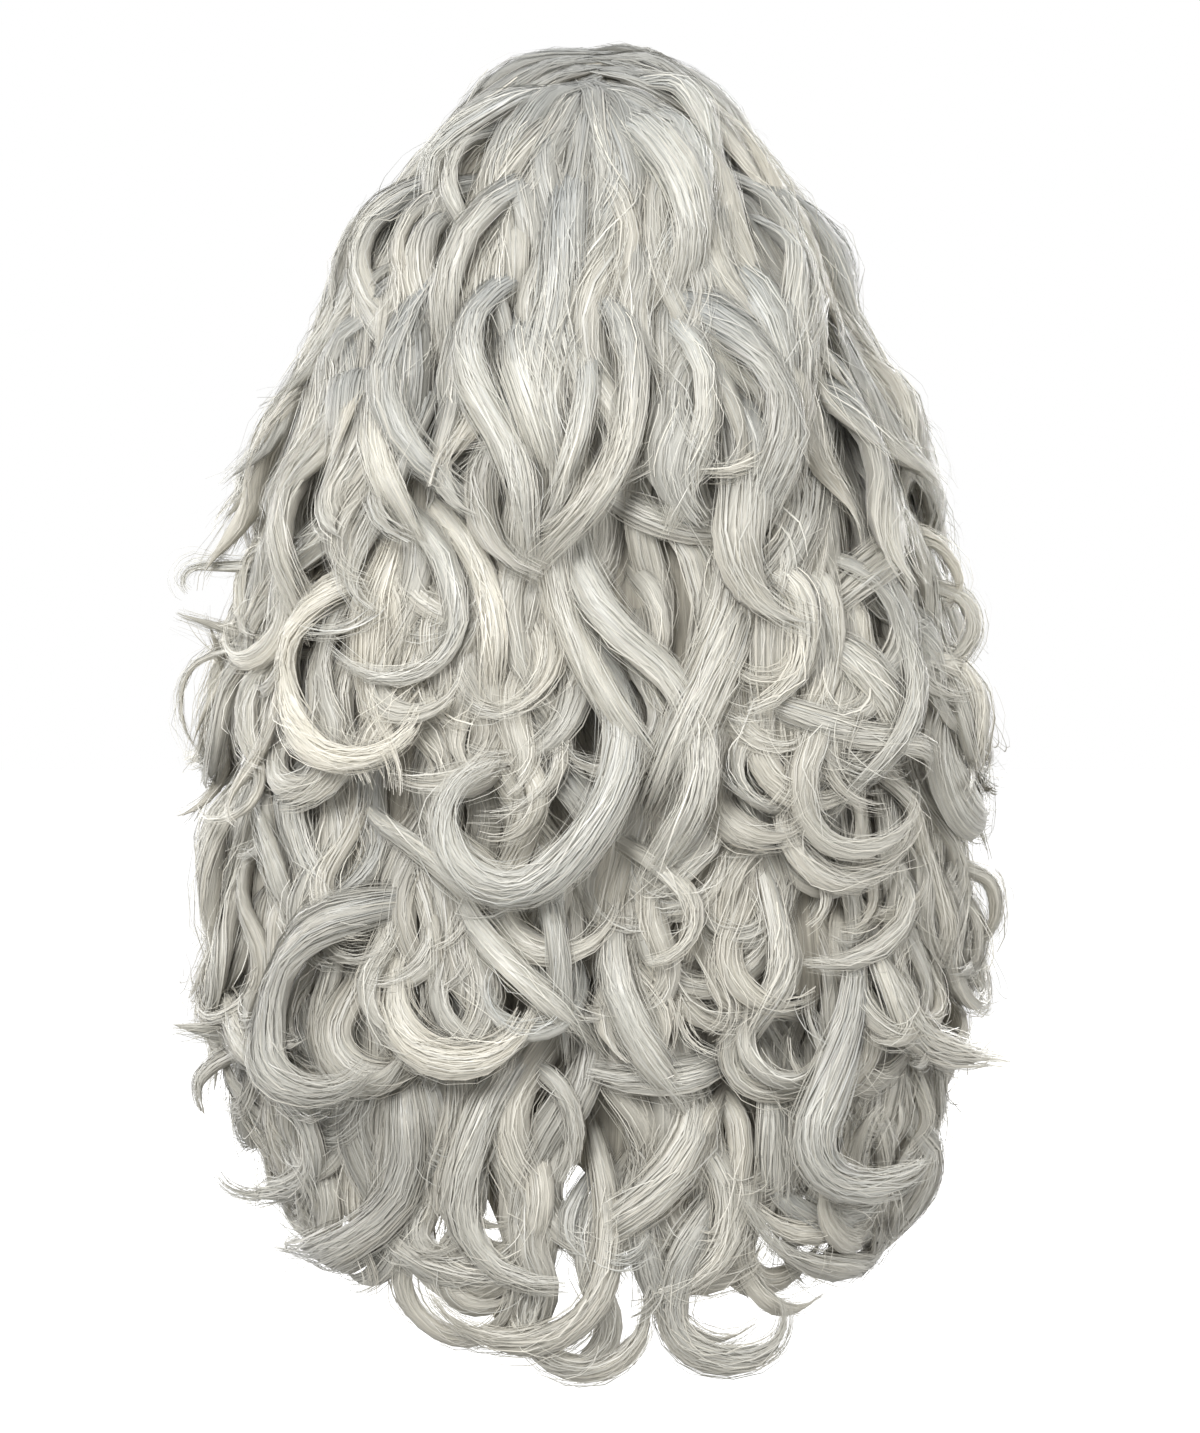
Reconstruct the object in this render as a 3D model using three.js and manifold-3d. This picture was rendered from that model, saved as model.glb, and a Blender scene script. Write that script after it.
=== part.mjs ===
// Curly wig: a thin shaped cap that carries nested tiers of hair, each tier a sheet of hair with its
// curled locks fused to it. Millimetres, +Z up, +Y towards the face, the back of the hair towards -Y.
// The origin is the inside top of the cap, where the crown of the head seats.
import * as THREE from "three";
import { mergeVertices } from "three/addons/utils/BufferGeometryUtils.js";
import Module from "manifold-3d";

// Cap: part of an ellipsoid that fits the head, cut along a line over the forehead, ears and nape.
const CAP_HALF_WIDTH = 77;
const CAP_HALF_DEPTH = 97;
const CAP_HEIGHT = 115;
const CAP_WALL = 2;
const CAP_EDGE = { mean: -114.5, front_rise: 61, ear_rise: 3.5 };
const CAP_ROWS = 7;
const CAP_COLUMNS = 24;

// Hair sheets: plan roundness, sheet wall, gap of the crown to the cap, and the step in from one
// tier to the next.
const PLAN_POWER = 2.5;
const SHEET_WALL = 4;
const CROWN_GAP = 0.85;
const ROOT_RUN = 45;
const STEP_WIDTH = 18;
const STEP_DEPTH = 20;
const EDGE_SHARE = 0.97;

// Crown: the outermost tier, a thick dome of hair round the top of the cap.
const CROWN_RIM = { mean: -112.25, front_rise: 60.5, ear_rise: 7.75 };
const CROWN_RIM_WALL = 6;
const CAP_SEAT = { side: 60, back: 30 };

// Outer surface of the crown tier and its continuation downwards, a row for each level.
const SECTION_COLUMNS = ["z", "half_width", "back", "front"];
const SECTIONS = [
  [40, 0, 0, 0],
  [35, 34, 38, 34],
  [20, 62, 74, 68],
  [0, 83, 99, 87],
  [-25, 99, 114, 98],
  [-50, 111, 124, 105],
  [-80, 121, 133, 106],
  [-110, 129, 141, 104],
  [-140, 142, 148, 100],
  [-170, 160, 155, 98],
  [-215, 181, 164, 96],
  [-260, 195, 171, 96],
  [-330, 210, 182, 98],
  [-400, 222, 192, 100],
  [-470, 230, 201, 100],
  [-520, 226, 205, 100],
  [-560, 209, 205, 100],
  [-640, 174, 205, 100],
];

// Tiers under the crown: steps in from the crown, height of the sewn root line over the cap edge at
// the ear and what the back adds, foot of the sheet at mid back and what the sides lift, and the
// start and end of the sheet round the head at root and foot in degrees from mid back. The gap is
// from the sheet to the round the cap's flats are cut from, so that the flats stay just clear.
const TIER_COLUMNS = ["name", "steps", "gap", "root", "root_back", "foot", "foot_lift", "root_span",
  "foot_span"];
const TIERS = [
  ["upper_weft", 1, 0.45, 45, 30, -330, 30, [-104, 104], [-104, 104]],
  ["lower_weft", 2, 0.45, 25, 15, -470, 40, [-94, 94], [-100, 100]],
  ["nape_weft", 3, -0.3, 10, 0, -598, 15, [-72, 72], [-94, 94]],
  ["front_hair_right", 1, 0.45, 14, 0, -240, 0, [108, 146], [110, 134]],
  ["front_hair_left", 1, 0.45, 14, 0, -240, 0, [-146, -108], [-134, -110]],
];
const SHEET_ROWS = 5;
const FOOT_SCALLOP = { depth: 12, count: 6 };
const SHEET_STEP = 15;
const SHEET_COLUMNS_LEAST = 4;

// Locks: a lock starts at a point of its tier's surface with a heading (0 hangs straight down,
// positive leans to the right in the view) and runs on as arcs of turn in degrees and radius.
const LOCK_COLUMNS = ["across", "z", "heading", "arcs", "width", "lift"];
const LOCK_FLATNESS = 0.5;
const LOCK_PROUD = 2;
const LOCK_SIDES = 4;
const LOCK_CORNER = 1.2;
const LOCK_TURN_STEP = 52;
const LOCK_RUN_STEP = 64;
const LOCK_START = { share: 0.16, size: 0.6, lift: 0 };
const LOCK_TIP = { share: 0.3, size: 0.36, lift: 5 };

// Locks of the back, seen from behind, tier by tier.
const BACK_LOCKS = {
  crown_hair: [
    [4, -2, 60, [[-68, 86]], 30, 6],
    [14, 7, 65, [[-100, 60]], 22, 4],
    [68, -25, 52, [[-80, 86]], 30, 2],
    [54, -62, 45, [[-55, 133]], 30, 1],
    [24, -97, 80, [[-95, 81]], 30, 5],
    [-7, -86, 45, [[-95, 93]], 20, 6],
    [-17, -76, -70, [[105, 62], [-30, 80]], 22, 6],
    [-22, -30, -50, [[40, 145]], 24, 5],
    [-61, -67, -40, [[30, 160], [65, 52]], 22, 5],
    [-76, -25, -55, [[80, 75]], 26, 4],
    [-81, -72, -45, [[45, 245]], 34, 1],
  ],
  upper_weft: [
    [-56, -179, -85, [[48, 95], [-12, 130]], 24, 5],
    [-101, -205, 62, [[-60, 70], [-155, 31]], 16, 6],
    [-76, -212, 50, [[-60, 80]], 20, 3],
    [-7, -187, -25, [[50, 109], [15, 230]], 20, 5],
    [-10, -205, -5, [[60, 91], [-95, 59]], 24, 5],
    [4, -285, 30, [[-88, 81], [-207, 31]], 26, 6],
    [71, -228, -2, [[-30, 220]], 34, 3],
    [88, -241, 50, [[-125, 42]], 18, 6],
    [54, -187, 80, [[-105, 48]], 18, 4],
    [96, -130, 30, [[-70, 100]], 34, 1],
    [134, -165, 45, [[-95, 56]], 30, 2],
    [121, -120, 65, [[-60, 75]], 26, 1],
    [119, -232, 60, [[-100, 71]], 16, 5],
    [-96, -235, -75, [[80, 69], [165, 33]], 22, 5],
    [-166, -236, -92, [[6, 300], [150, 8]], 12, 1],
    [-165, -277, -115, [[10, 250]], 14, 1],
    [167, -220, 80, [[-150, 20]], 16, 2],
    [178, -250, 60, [[-150, 21]], 16, 2],
    [171, -285, 65, [[-115, 41]], 24, 2],
    [86, -307, 65, [[25, 180]], 20, 4],
  ],
  lower_weft: [
    [-46, -300, -70, [[85, 50]], 24, 2],
    [-46, -280, 25, [[8, 700]], 26, 3],
    [63, -337, 10, [[-75, 59]], 18, 4],
    [16, -377, 55, [[-10, 200], [-140, 22]], 14, 6],
    [144, -340, 35, [[-32, 170]], 20, 3],
    [174, -345, 30, [[-50, 60]], 22, 1],
    [133, -326, -75, [[55, 56], [210, 28]], 20, 6],
    [86, -387, 5, [[10, 180], [-45, 50]], 18, 4],
    [156, -395, 0, [[-105, 45]], 16, 4],
    [194, -396, 70, [[-160, 18]], 18, 1],
    [177, -405, 85, [[-190, 21]], 16, 3],
    [-63, -408, 30, [[25, 165]], 18, 5],
    [-23, -400, 15, [[-12, 280]], 14, 5],
    [-146, -338, -10, [[42, 95]], 28, 2],
    [-165, -343, -50, [[60, 88]], 30, 1],
    [-95, -405, -80, [[75, 76], [165, 27]], 30, 5],
    [-98, -447, 0, [[10, 60], [160, 34]], 26, 3],
    [10, -422, 0, [[40, 110]], 24, 3],
    [131, -432, -5, [[-22, 215], [205, 26]], 28, 4],
    [140, -432, 5, [[75, 66]], 24, 3],
    [-193, -432, -5, [[65, 55]], 22, 1],
  ],
  nape_weft: [
    [51, -492, -70, [[-45, 70]], 24, 6],
    [95, -462, -110, [[320, 21]], 14, 5],
    [-176, -477, -95, [[-5, 400]], 22, 1],
    [-161, -480, -65, [[10, 220]], 18, 3],
    [-138, -503, 75, [[-235, 25]], 18, 6],
    [-93, -497, 15, [[-25, 110], [-100, 46]], 28, 5],
    [-123, -550, 30, [[60, 92]], 20, 2],
    [-31, -480, -45, [[40, 110], [105, 45]], 24, 6],
    [4, -535, 15, [[-25, 130], [-155, 42]], 20, 5],
    [-26, -490, 60, [[-100, 37]], 14, 4],
    [51, -500, -2, [[-60, 78]], 28, 5],
    [54, -525, 45, [[-125, 46]], 22, 3],
    [61, -555, -45, [[45, 78], [200, 25]], 22, 4],
    [152, -520, 35, [[-205, 40]], 22, 4],
    [89, -545, 15, [[130, 28]], 16, 3],
  ],
};

// Locks of both sides of the head: start across towards the face, mirrored to the other side.
const SIDE_LOCKS = {
  crown_hair: [
    [-40, -30, 4, wave(1, 36, 150, 1, 40, 60), 32, 2],
    [26, -28, -4, wave(-1, 34, 150, 1, 40, 70), 32, 3],
  ],
  upper_weft: [
    [-52, -140, 0, wave(-1, 66, 62, 2, 23, 210), 28, 2],
    [-4, -135, -4, wave(1, 66, 60, 2, 24, 220), 28, 3],
  ],
  lower_weft: [
    [-52, -262, 0, wave(-1, 70, 58, 2, 23, 220), 28, 2],
    [6, -255, -4, wave(1, 68, 60, 2, 24, 210), 28, 3],
  ],
  nape_weft: [
    [-44, -400, 4, wave(1, 70, 54, 1, 25, 220), 28, 3],
    [-4, -390, -4, wave(-1, 68, 54, 1, 24, 220), 26, 3],
  ],
};

// Locks of the front: they part at mid forehead and frame the face, mirrored to the other side.
const FRONT_LOCKS = {
  crown_hair: [
    [9, 6, 74, [[-50, 108], [-28, 110], [52, 68], [-62, 60]], 28, 2],
    [7, -8, 76, [[-56, 96], [-24, 120], [56, 66], [-70, 60], [-130, 24]], 26, 3],
    [6, -24, 82, [[-70, 80], [-20, 130], [60, 64], [-66, 60], [160, 23]], 24, 3],
  ],
  front_hair_right: [
    [86, -104, 2, wave(1, 62, 62, 2, 22, 210), 24, 2],
    [72, -116, -2, wave(-1, 64, 60, 2, 22, 200), 22, 3],
  ],
};

/** Arcs of a waving lock: a half swing, the full swings, then the curl at the end. */
function wave(side, sway, radius, swings, curl, sweep) {
  const arcs = [[side * sway / 2, radius]];
  let turn = -side * sway;
  for (let swing = 0; swing < swings; swing += 1) {
    arcs.push([turn, radius]);
    turn = -turn;
  }
  arcs.push([Math.sign(turn) * sweep, curl]);
  return arcs;
}

/** Turns a table's rows into objects with the named columns. */
function named(columns, rows) {
  return rows.map((row) => Object.fromEntries(columns.map((column, index) => [column, row[index]])));
}

const LEVELS = named(SECTION_COLUMNS, SECTIONS);

/** Outer half width, back depth and front depth of the hair at a height, some tiers further in. */
function section(z, steps) {
  const last = LEVELS.length - 1;
  let index = LEVELS.findIndex((level) => level.z <= z);
  index = index < 0 ? last : Math.max(1, index);
  const above = LEVELS[index - 1];
  const below = LEVELS[index];
  const share = THREE.MathUtils.clamp((above.z - z) / (above.z - below.z), 0, 1);
  const at = (column) => THREE.MathUtils.lerp(above[column], below[column], share);
  return {
    half_width: at("half_width") - STEP_WIDTH * steps,
    back: at("back") - STEP_DEPTH * steps,
    front: at("front") - STEP_DEPTH * steps,
  };
}

/** Lower edge of the cap or crown at an angle from mid back. */
function edgeHeight(edge, angle) {
  return edge.mean - edge.front_rise * Math.cos(angle) + edge.ear_rise * Math.cos(2 * angle);
}

/** Point of the cap's outer or offset surface at an angle from mid back and a height. */
function capPoint(angle, z, offset) {
  const height = CAP_HEIGHT + offset;
  const level = THREE.MathUtils.clamp((z + CAP_HEIGHT) / height, -1, 1);
  const size = Math.sqrt(1 - level * level);
  const x = (CAP_HALF_WIDTH + offset) * size * Math.sin(angle);
  const y = -(CAP_HALF_DEPTH + offset) * size * Math.cos(angle);
  return new THREE.Vector3(x, y, z);
}

/** Point of a tier's surface at an angle from mid back and a height, offset across the wall. */
function tierPoint(steps, angle, z, offset) {
  const plan = section(z, steps);
  const sine = Math.sin(angle);
  const cosine = Math.cos(angle);
  const depth = (cosine > 0 ? plan.back : plan.front) + offset;
  const x = (plan.half_width + offset) * Math.sign(sine) * Math.abs(sine) ** (2 / PLAN_POWER);
  const y = -depth * Math.sign(cosine) * Math.abs(cosine) ** (2 / PLAN_POWER);
  return new THREE.Vector3(x, y, z);
}

/** Closed solid from vertex positions and triangles, turned to face out. */
function closedGeometry(points, triangles) {
  const flat = new Float32Array(points.flatMap((point) => [point.x, point.y, point.z]));
  const geometry = new THREE.BufferGeometry();
  geometry.setAttribute("position", new THREE.BufferAttribute(flat, 3));
  let volume = 0;
  for (const [a, b, c] of triangles) {
    volume += points[a].dot(points[b].clone().cross(points[c]));
  }
  const facing = triangles.map(([a, b, c]) => (volume > 0 ? [a, b, c] : [a, c, b]));
  geometry.setIndex(facing.flat());
  return geometry;
}

/** Triangles of a grid of points given as rows of vertex numbers, without collapsed ones. */
function gridTriangles(rows) {
  const triangles = [];
  for (let row = 0; row + 1 < rows.length; row += 1) {
    for (let column = 0; column + 1 < rows[row].length; column += 1) {
      const a = rows[row][column];
      const b = rows[row][column + 1];
      const c = rows[row + 1][column + 1];
      const d = rows[row + 1][column];
      triangles.push([a, b, c], [a, c, d]);
    }
  }
  return triangles.filter(([a, b, c]) => a !== b && b !== c && c !== a);
}

/** Dome with a wall: outer and inner surfaces from pole to edge, joined along the edge. */
function dome(outerPoint, innerPoint, rowCount, columnCount) {
  const points = [];
  const ring = (pointAt, row) => {
    const first = points.length;
    if (row === 0) {
      points.push(pointAt(0, 0));
      return Array(columnCount + 1).fill(first);
    }
    for (let column = 0; column < columnCount; column += 1) {
      points.push(pointAt(column / columnCount * 2 * Math.PI, row / rowCount));
    }
    return [...Array(columnCount).keys(), 0].map((column) => first + column);
  };
  const rows = [];
  for (let row = 0; row <= rowCount; row += 1) {
    rows.push(ring(outerPoint, row));
  }
  for (let row = rowCount; row >= 0; row -= 1) {
    rows.push(ring(innerPoint, row));
  }
  return closedGeometry(points, gridTriangles(rows));
}

/** Cap shell. */
function capGeometry() {
  const surface = (offset) => (angle, share) => {
    const top = offset;
    const z = top - (top - edgeHeight(CAP_EDGE, angle)) * share * share;
    return capPoint(angle, z, offset);
  };
  return dome(surface(CAP_WALL), surface(0), CAP_ROWS, CAP_COLUMNS);
}

/** Crown dome: seated on the cap at the top, clear of the roots of the other tiers lower down. */
function crownGeometry() {
  const seat = CAP_WALL + CROWN_GAP;
  const outer = (angle, share) => {
    const top = LEVELS[0].z;
    const z = top - (top - edgeHeight(CROWN_RIM, angle)) * share * share;
    return tierPoint(0, angle, z, 0);
  };
  const inner = (angle, share) => {
    const z = seat - (seat - edgeHeight(CAP_EDGE, angle)) * share * share;
    const leave = edgeHeight(CAP_EDGE, angle) + CAP_SEAT.side + CAP_SEAT.back * Math.cos(angle);
    const free = THREE.MathUtils.smoothstep(leave - z, 0, ROOT_RUN);
    return capPoint(angle, z, seat).lerp(tierPoint(0, angle, z, -CROWN_RIM_WALL), free);
  };
  return dome(outer, inner, CAP_ROWS, CAP_COLUMNS);
}

/** Sheet of hair that leaves the cap at its root line and falls round part of the head. */
function sheetGeometry(tier) {
  const points = [];
  const span = tier.foot_span[1] - tier.foot_span[0];
  const columnCount = Math.max(SHEET_COLUMNS_LEAST, Math.round(span / SHEET_STEP));
  const place = (row, column, outer) => {
    const down = row / SHEET_ROWS;
    const across = column / columnCount;
    const first = THREE.MathUtils.lerp(tier.root_span[0], tier.foot_span[0], down);
    const last = THREE.MathUtils.lerp(tier.root_span[1], tier.foot_span[1], down);
    const angle = THREE.MathUtils.degToRad(THREE.MathUtils.lerp(first, last, across));
    const root = edgeHeight(CAP_EDGE, angle) + tier.root + tier.root_back * Math.cos(angle);
    const scallop = FOOT_SCALLOP.depth * Math.cos(FOOT_SCALLOP.count * angle);
    const foot = tier.foot + tier.foot_lift * Math.sin(angle) ** 2 + scallop;
    const z = THREE.MathUtils.lerp(root, foot, down);
    const free = THREE.MathUtils.smoothstep(root - z, 0, ROOT_RUN);
    const seat = CAP_WALL + tier.gap + (outer ? SHEET_WALL : 0);
    const hanging = tierPoint(tier.steps, angle, z, outer ? 0 : -SHEET_WALL);
    points.push(capPoint(angle, z, seat).lerp(hanging, free));
    return points.length - 1;
  };
  const rows = [];
  for (let row = 0; row <= SHEET_ROWS; row += 1) {
    const outer = [];
    const inner = [];
    for (let column = 0; column <= columnCount; column += 1) {
      outer.push(place(row, column, true));
      inner.unshift(place(row, column, false));
    }
    rows.push([...outer, ...inner, outer[0]]);
  }
  const cap = (row) => row.slice(0, columnCount).flatMap((outer, column) => {
    const inner = row[2 * columnCount + 1 - column];
    const nextInner = row[2 * columnCount - column];
    return [[outer, inner, row[column + 1]], [row[column + 1], inner, nextInner]];
  });
  const flip = ([a, b, c]) => [a, c, b];
  const triangles = [...gridTriangles(rows), ...cap(rows[0]), ...cap(rows[SHEET_ROWS]).map(flip)];
  return closedGeometry(points, triangles);
}

/** Places a lock's course on one side of the hair: the back, the left, the right or the front. */
const CHARTS = {
  back: (across, z, plan) => chartPoint(across, z, plan.half_width, plan.back, (u, v) => [u, -v]),
  front: (across, z, plan) => chartPoint(across, z, plan.half_width, plan.front, (u, v) => [u, v]),
  right: (across, z, plan) => chartPoint(across, z, across < 0 ? plan.back : plan.front,
    plan.half_width, (u, v) => [v, u]),
  left: (across, z, plan) => chartPoint(across, z, across < 0 ? plan.back : plan.front,
    plan.half_width, (u, v) => [-v, u]),
};

/** Surface point and outward direction for a place across one side of the hair. */
function chartPoint(across, z, reach, depth, toPlan) {
  const share = Math.min(Math.abs(across) / reach, EDGE_SHARE);
  const rise = (1 - share ** PLAN_POWER) ** (1 / PLAN_POWER);
  const slopeAcross = Math.sign(across) * share ** (PLAN_POWER - 1) / reach;
  const slopeOut = rise ** (PLAN_POWER - 1) / depth;
  const [x, y] = toPlan(across, depth * rise);
  const [nx, ny] = toPlan(slopeAcross, slopeOut);
  return { point: new THREE.Vector3(x, y, z), out: new THREE.Vector3(nx, ny, 0).normalize() };
}

/** Course of a lock in its chart: points with the share of the length run so far. */
function lockCourse(lock) {
  const course = [{ across: lock.across, z: lock.z, run: 0 }];
  let heading = THREE.MathUtils.degToRad(lock.heading);
  let { across, z } = lock;
  let run = 0;
  for (const [turn, radius] of lock.arcs) {
    const angle = THREE.MathUtils.degToRad(turn);
    const length = Math.abs(angle) * radius;
    const count = Math.max(1, Math.ceil(Math.max(Math.abs(turn) / LOCK_TURN_STEP, length / LOCK_RUN_STEP)));
    for (let step = 0; step < count; step += 1) {
      const middle = heading + angle / count / 2;
      const chord = 2 * radius * Math.abs(Math.sin(angle / count / 2));
      across += Math.sin(middle) * chord;
      z -= Math.cos(middle) * chord;
      heading += angle / count;
      run += length / count;
      course.push({ across, z, run });
    }
  }
  return course.map((stop) => ({ ...stop, share: stop.run / run }));
}

/** Solid lock: flat oval sections along its course, sunk at the start and narrowed at the tip. */
function lockGeometry(lock, steps, chart) {
  const stops = lockCourse(lock).map(({ across, z, share }) => {
    const { point, out } = CHARTS[chart](across, z, section(z, steps));
    const rise = THREE.MathUtils.smoothstep(share, 0, LOCK_START.share);
    const end = THREE.MathUtils.smoothstep(share, 1 - LOCK_TIP.share, 1);
    const lift = THREE.MathUtils.lerp(LOCK_START.lift, lock.lift + LOCK_PROUD, rise) + LOCK_TIP.lift * end;
    const size = THREE.MathUtils.lerp(LOCK_START.size, 1, rise) * THREE.MathUtils.lerp(1, LOCK_TIP.size, end);
    return { point: point.addScaledVector(out, lift), out, size };
  });
  const points = [];
  const rings = stops.map((stop, index) => {
    const before = stops[Math.max(0, index - 1)].point;
    const after = stops[Math.min(stops.length - 1, index + 1)].point;
    const along = after.clone().sub(before).normalize();
    const side = along.clone().cross(stop.out).normalize();
    const up = side.clone().cross(along).normalize();
    const first = points.length;
    for (let corner = 0; corner < LOCK_SIDES; corner += 1) {
      const angle = (corner + 0.5) / LOCK_SIDES * 2 * Math.PI;
      const reach = lock.width / 2 * LOCK_CORNER * stop.size;
      points.push(stop.point.clone()
        .addScaledVector(side, reach * Math.cos(angle))
        .addScaledVector(up, reach * LOCK_FLATNESS * Math.sin(angle)));
    }
    return [...Array(LOCK_SIDES).keys(), 0].map((corner) => first + corner);
  });
  const corners = [...Array(LOCK_SIDES - 2).keys()];
  const fan = (ring) => corners.map((corner) => [ring[0], ring[corner + 2], ring[corner + 1]]);
  const flip = ([a, b, c]) => [a, c, b];
  const end = fan(rings[rings.length - 1]).map(flip);
  return closedGeometry(points, [...gridTriangles(rings), ...fan(rings[0]), ...end]);
}

const wasm = await Module();
wasm.setup();

/** Solid for joining, from a closed geometry. */
function toSolid(geometry) {
  const clean = mergeVertices(geometry, 1e-4);
  return new wasm.Manifold(new wasm.Mesh({
    numProp: 3,
    vertProperties: new Float32Array(clean.attributes.position.array),
    triVerts: new Uint32Array(clean.index.array),
  }));
}

/** Geometry of a joined solid, with the pockets shut in between crossing locks filled. */
function toGeometry(solid) {
  const mesh = solid.getMesh();
  const leader = [...Array(mesh.numVert).keys()];
  const lead = (vertex) => {
    let top = vertex;
    while (leader[top] !== top) {
      leader[top] = leader[leader[top]];
      top = leader[top];
    }
    return top;
  };
  const triangles = [];
  for (let first = 0; first < mesh.triVerts.length; first += 3) {
    const triangle = [...mesh.triVerts.slice(first, first + 3)];
    leader[lead(triangle[1])] = lead(triangle[0]);
    leader[lead(triangle[2])] = lead(triangle[0]);
    triangles.push(triangle);
  }
  const topmost = [...Array(mesh.numVert).keys()].reduce((best, vertex) => (
    mesh.vertProperties[3 * vertex + 2] > mesh.vertProperties[3 * best + 2] ? vertex : best));
  const geometry = new THREE.BufferGeometry();
  geometry.setAttribute("position", new THREE.BufferAttribute(new Float32Array(mesh.vertProperties), 3));
  geometry.setIndex(triangles.filter(([vertex]) => lead(vertex) === lead(topmost)).flat());
  const clean = geometry.toNonIndexed();
  return mergeVertices(clean, 1e-5);
}

/** All locks of a tier as geometries. */
function tierLocks(name, steps) {
  const mirrored = (lock) => ({
    ...lock,
    across: -lock.across,
    heading: -lock.heading,
    arcs: lock.arcs.map(([turn, radius]) => [-turn, radius]),
  });
  const back = named(LOCK_COLUMNS, BACK_LOCKS[name] ?? []);
  const side = named(LOCK_COLUMNS, SIDE_LOCKS[name] ?? []);
  const front = named(LOCK_COLUMNS, FRONT_LOCKS[name.replace("left", "right")] ?? []);
  const frontRight = name.endsWith("left") ? [] : front;
  const frontLeft = name.endsWith("right") ? [] : front.map(mirrored);
  return [
    ...back.map((lock) => lockGeometry(lock, steps, "back")),
    ...side.map((lock) => lockGeometry(lock, steps, "right")),
    ...side.map((lock) => lockGeometry(lock, steps, "left")),
    ...frontRight.map((lock) => lockGeometry(lock, steps, "front")),
    ...frontLeft.map((lock) => lockGeometry(lock, steps, "front")),
  ];
}

/** Named mesh with its colour. */
function part(name, geometry, colour) {
  const material = new THREE.MeshStandardMaterial({ color: colour, roughness: 0.75 });
  const shown = geometry.clone();
  shown.computeVertexNormals();
  const mesh = new THREE.Mesh(shown, material);
  mesh.name = name;
  return mesh;
}

/** Sheet or dome with its locks fused on. */
function hair(name, base, steps) {
  const solids = [base, ...tierLocks(name, steps)].map(toSolid);
  return toGeometry(wasm.Manifold.union(solids));
}

const CAP_COLOUR = 0x8f8b82;
const HAIR_COLOURS = [0xd3d1c8, 0xcac7bc, 0xc3bfb3, 0xbab6a9];

const wig = new THREE.Group();
wig.name = "curly_wig";
wig.add(part("cap", capGeometry(), CAP_COLOUR));
wig.add(part("crown_hair", hair("crown_hair", crownGeometry(), 0), HAIR_COLOURS[0]));
for (const tier of named(TIER_COLUMNS, TIERS)) {
  wig.add(part(tier.name, hair(tier.name, sheetGeometry(tier), tier.steps), HAIR_COLOURS[tier.steps]));
}

export default wig;
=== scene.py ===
"""Curly wig: the looks of its cap and of its tiers of hair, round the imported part.

Each tier of hair is shown as locks over a backing. A lock follows a course of arcs on its tier's
surface and holds a soft core and many fine fibres, made as joined meshes from arrays. Courses are
worked out in millimetres and the meshes are in metres, +Z up, +Y towards the front.
"""

import logging
import math
from dataclasses import dataclass, field, replace
from enum import Enum

import bpy
import numpy as np
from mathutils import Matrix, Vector


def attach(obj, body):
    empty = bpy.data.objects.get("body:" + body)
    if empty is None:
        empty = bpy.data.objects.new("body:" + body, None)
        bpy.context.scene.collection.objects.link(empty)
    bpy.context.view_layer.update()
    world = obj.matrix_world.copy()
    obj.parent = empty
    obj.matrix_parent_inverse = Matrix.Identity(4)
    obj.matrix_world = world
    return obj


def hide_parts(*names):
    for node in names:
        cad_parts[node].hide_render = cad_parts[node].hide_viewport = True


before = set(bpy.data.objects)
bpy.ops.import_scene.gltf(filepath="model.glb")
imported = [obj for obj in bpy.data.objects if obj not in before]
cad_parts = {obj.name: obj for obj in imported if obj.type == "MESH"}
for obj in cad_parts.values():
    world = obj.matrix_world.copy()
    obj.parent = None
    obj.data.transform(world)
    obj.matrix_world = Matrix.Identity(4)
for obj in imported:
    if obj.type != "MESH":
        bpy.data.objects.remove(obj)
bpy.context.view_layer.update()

LOG = logging.getLogger("wig")
MM = 0.001
STRIDE = 1.5  # Length in mm between the points of a fine course.
Arcs = list[tuple[float, float]]  # Turn in degrees and radius in mm of each arc.


class Chart(Enum):
    """Side of the hair that a lock's course is drawn on: sign of its depth, and whether across is x."""

    BACK = (-1.0, True)
    FRONT = (1.0, True)
    RIGHT = (1.0, False)
    LEFT = (-1.0, False)


class Tier(Enum):
    """Tier of hair: its CAD node, its steps in from the crown and its material slot."""

    CROWN = ("crown_hair", 0, "crown_hair")
    UPPER = ("upper_weft", 1, "weft_hair")
    LOWER = ("lower_weft", 2, "weft_hair")
    NAPE = ("nape_weft", 3, "weft_hair")
    FRONT_RIGHT = ("front_hair_right", 1, "front_hair")
    FRONT_LEFT = ("front_hair_left", 1, "front_hair")

    @property
    def node(self) -> str:
        """Name of the CAD node."""
        return self.value[0]

    @property
    def steps(self) -> int:
        """Steps in from the crown's surface."""
        return self.value[1]

    @property
    def slot(self) -> str:
        """Material slot of the record."""
        return self.value[2]


def smooth(value: np.ndarray | float, low: float, high: float) -> np.ndarray:
    """Smooth step from 0 at low to 1 at high."""
    share = np.clip((np.asarray(value, float) - low) / (high - low), 0, 1)
    return share * share * (3 - 2 * share)


def unit(vectors: np.ndarray) -> np.ndarray:
    """Vectors made one unit long."""
    return vectors / np.maximum(np.linalg.norm(vectors, axis=-1, keepdims=True), 1e-9)


def power(value: np.ndarray, exponent: float) -> np.ndarray:
    """Power of the size of a value, with its sign kept."""
    return np.sign(value) * np.abs(value) ** exponent


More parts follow.
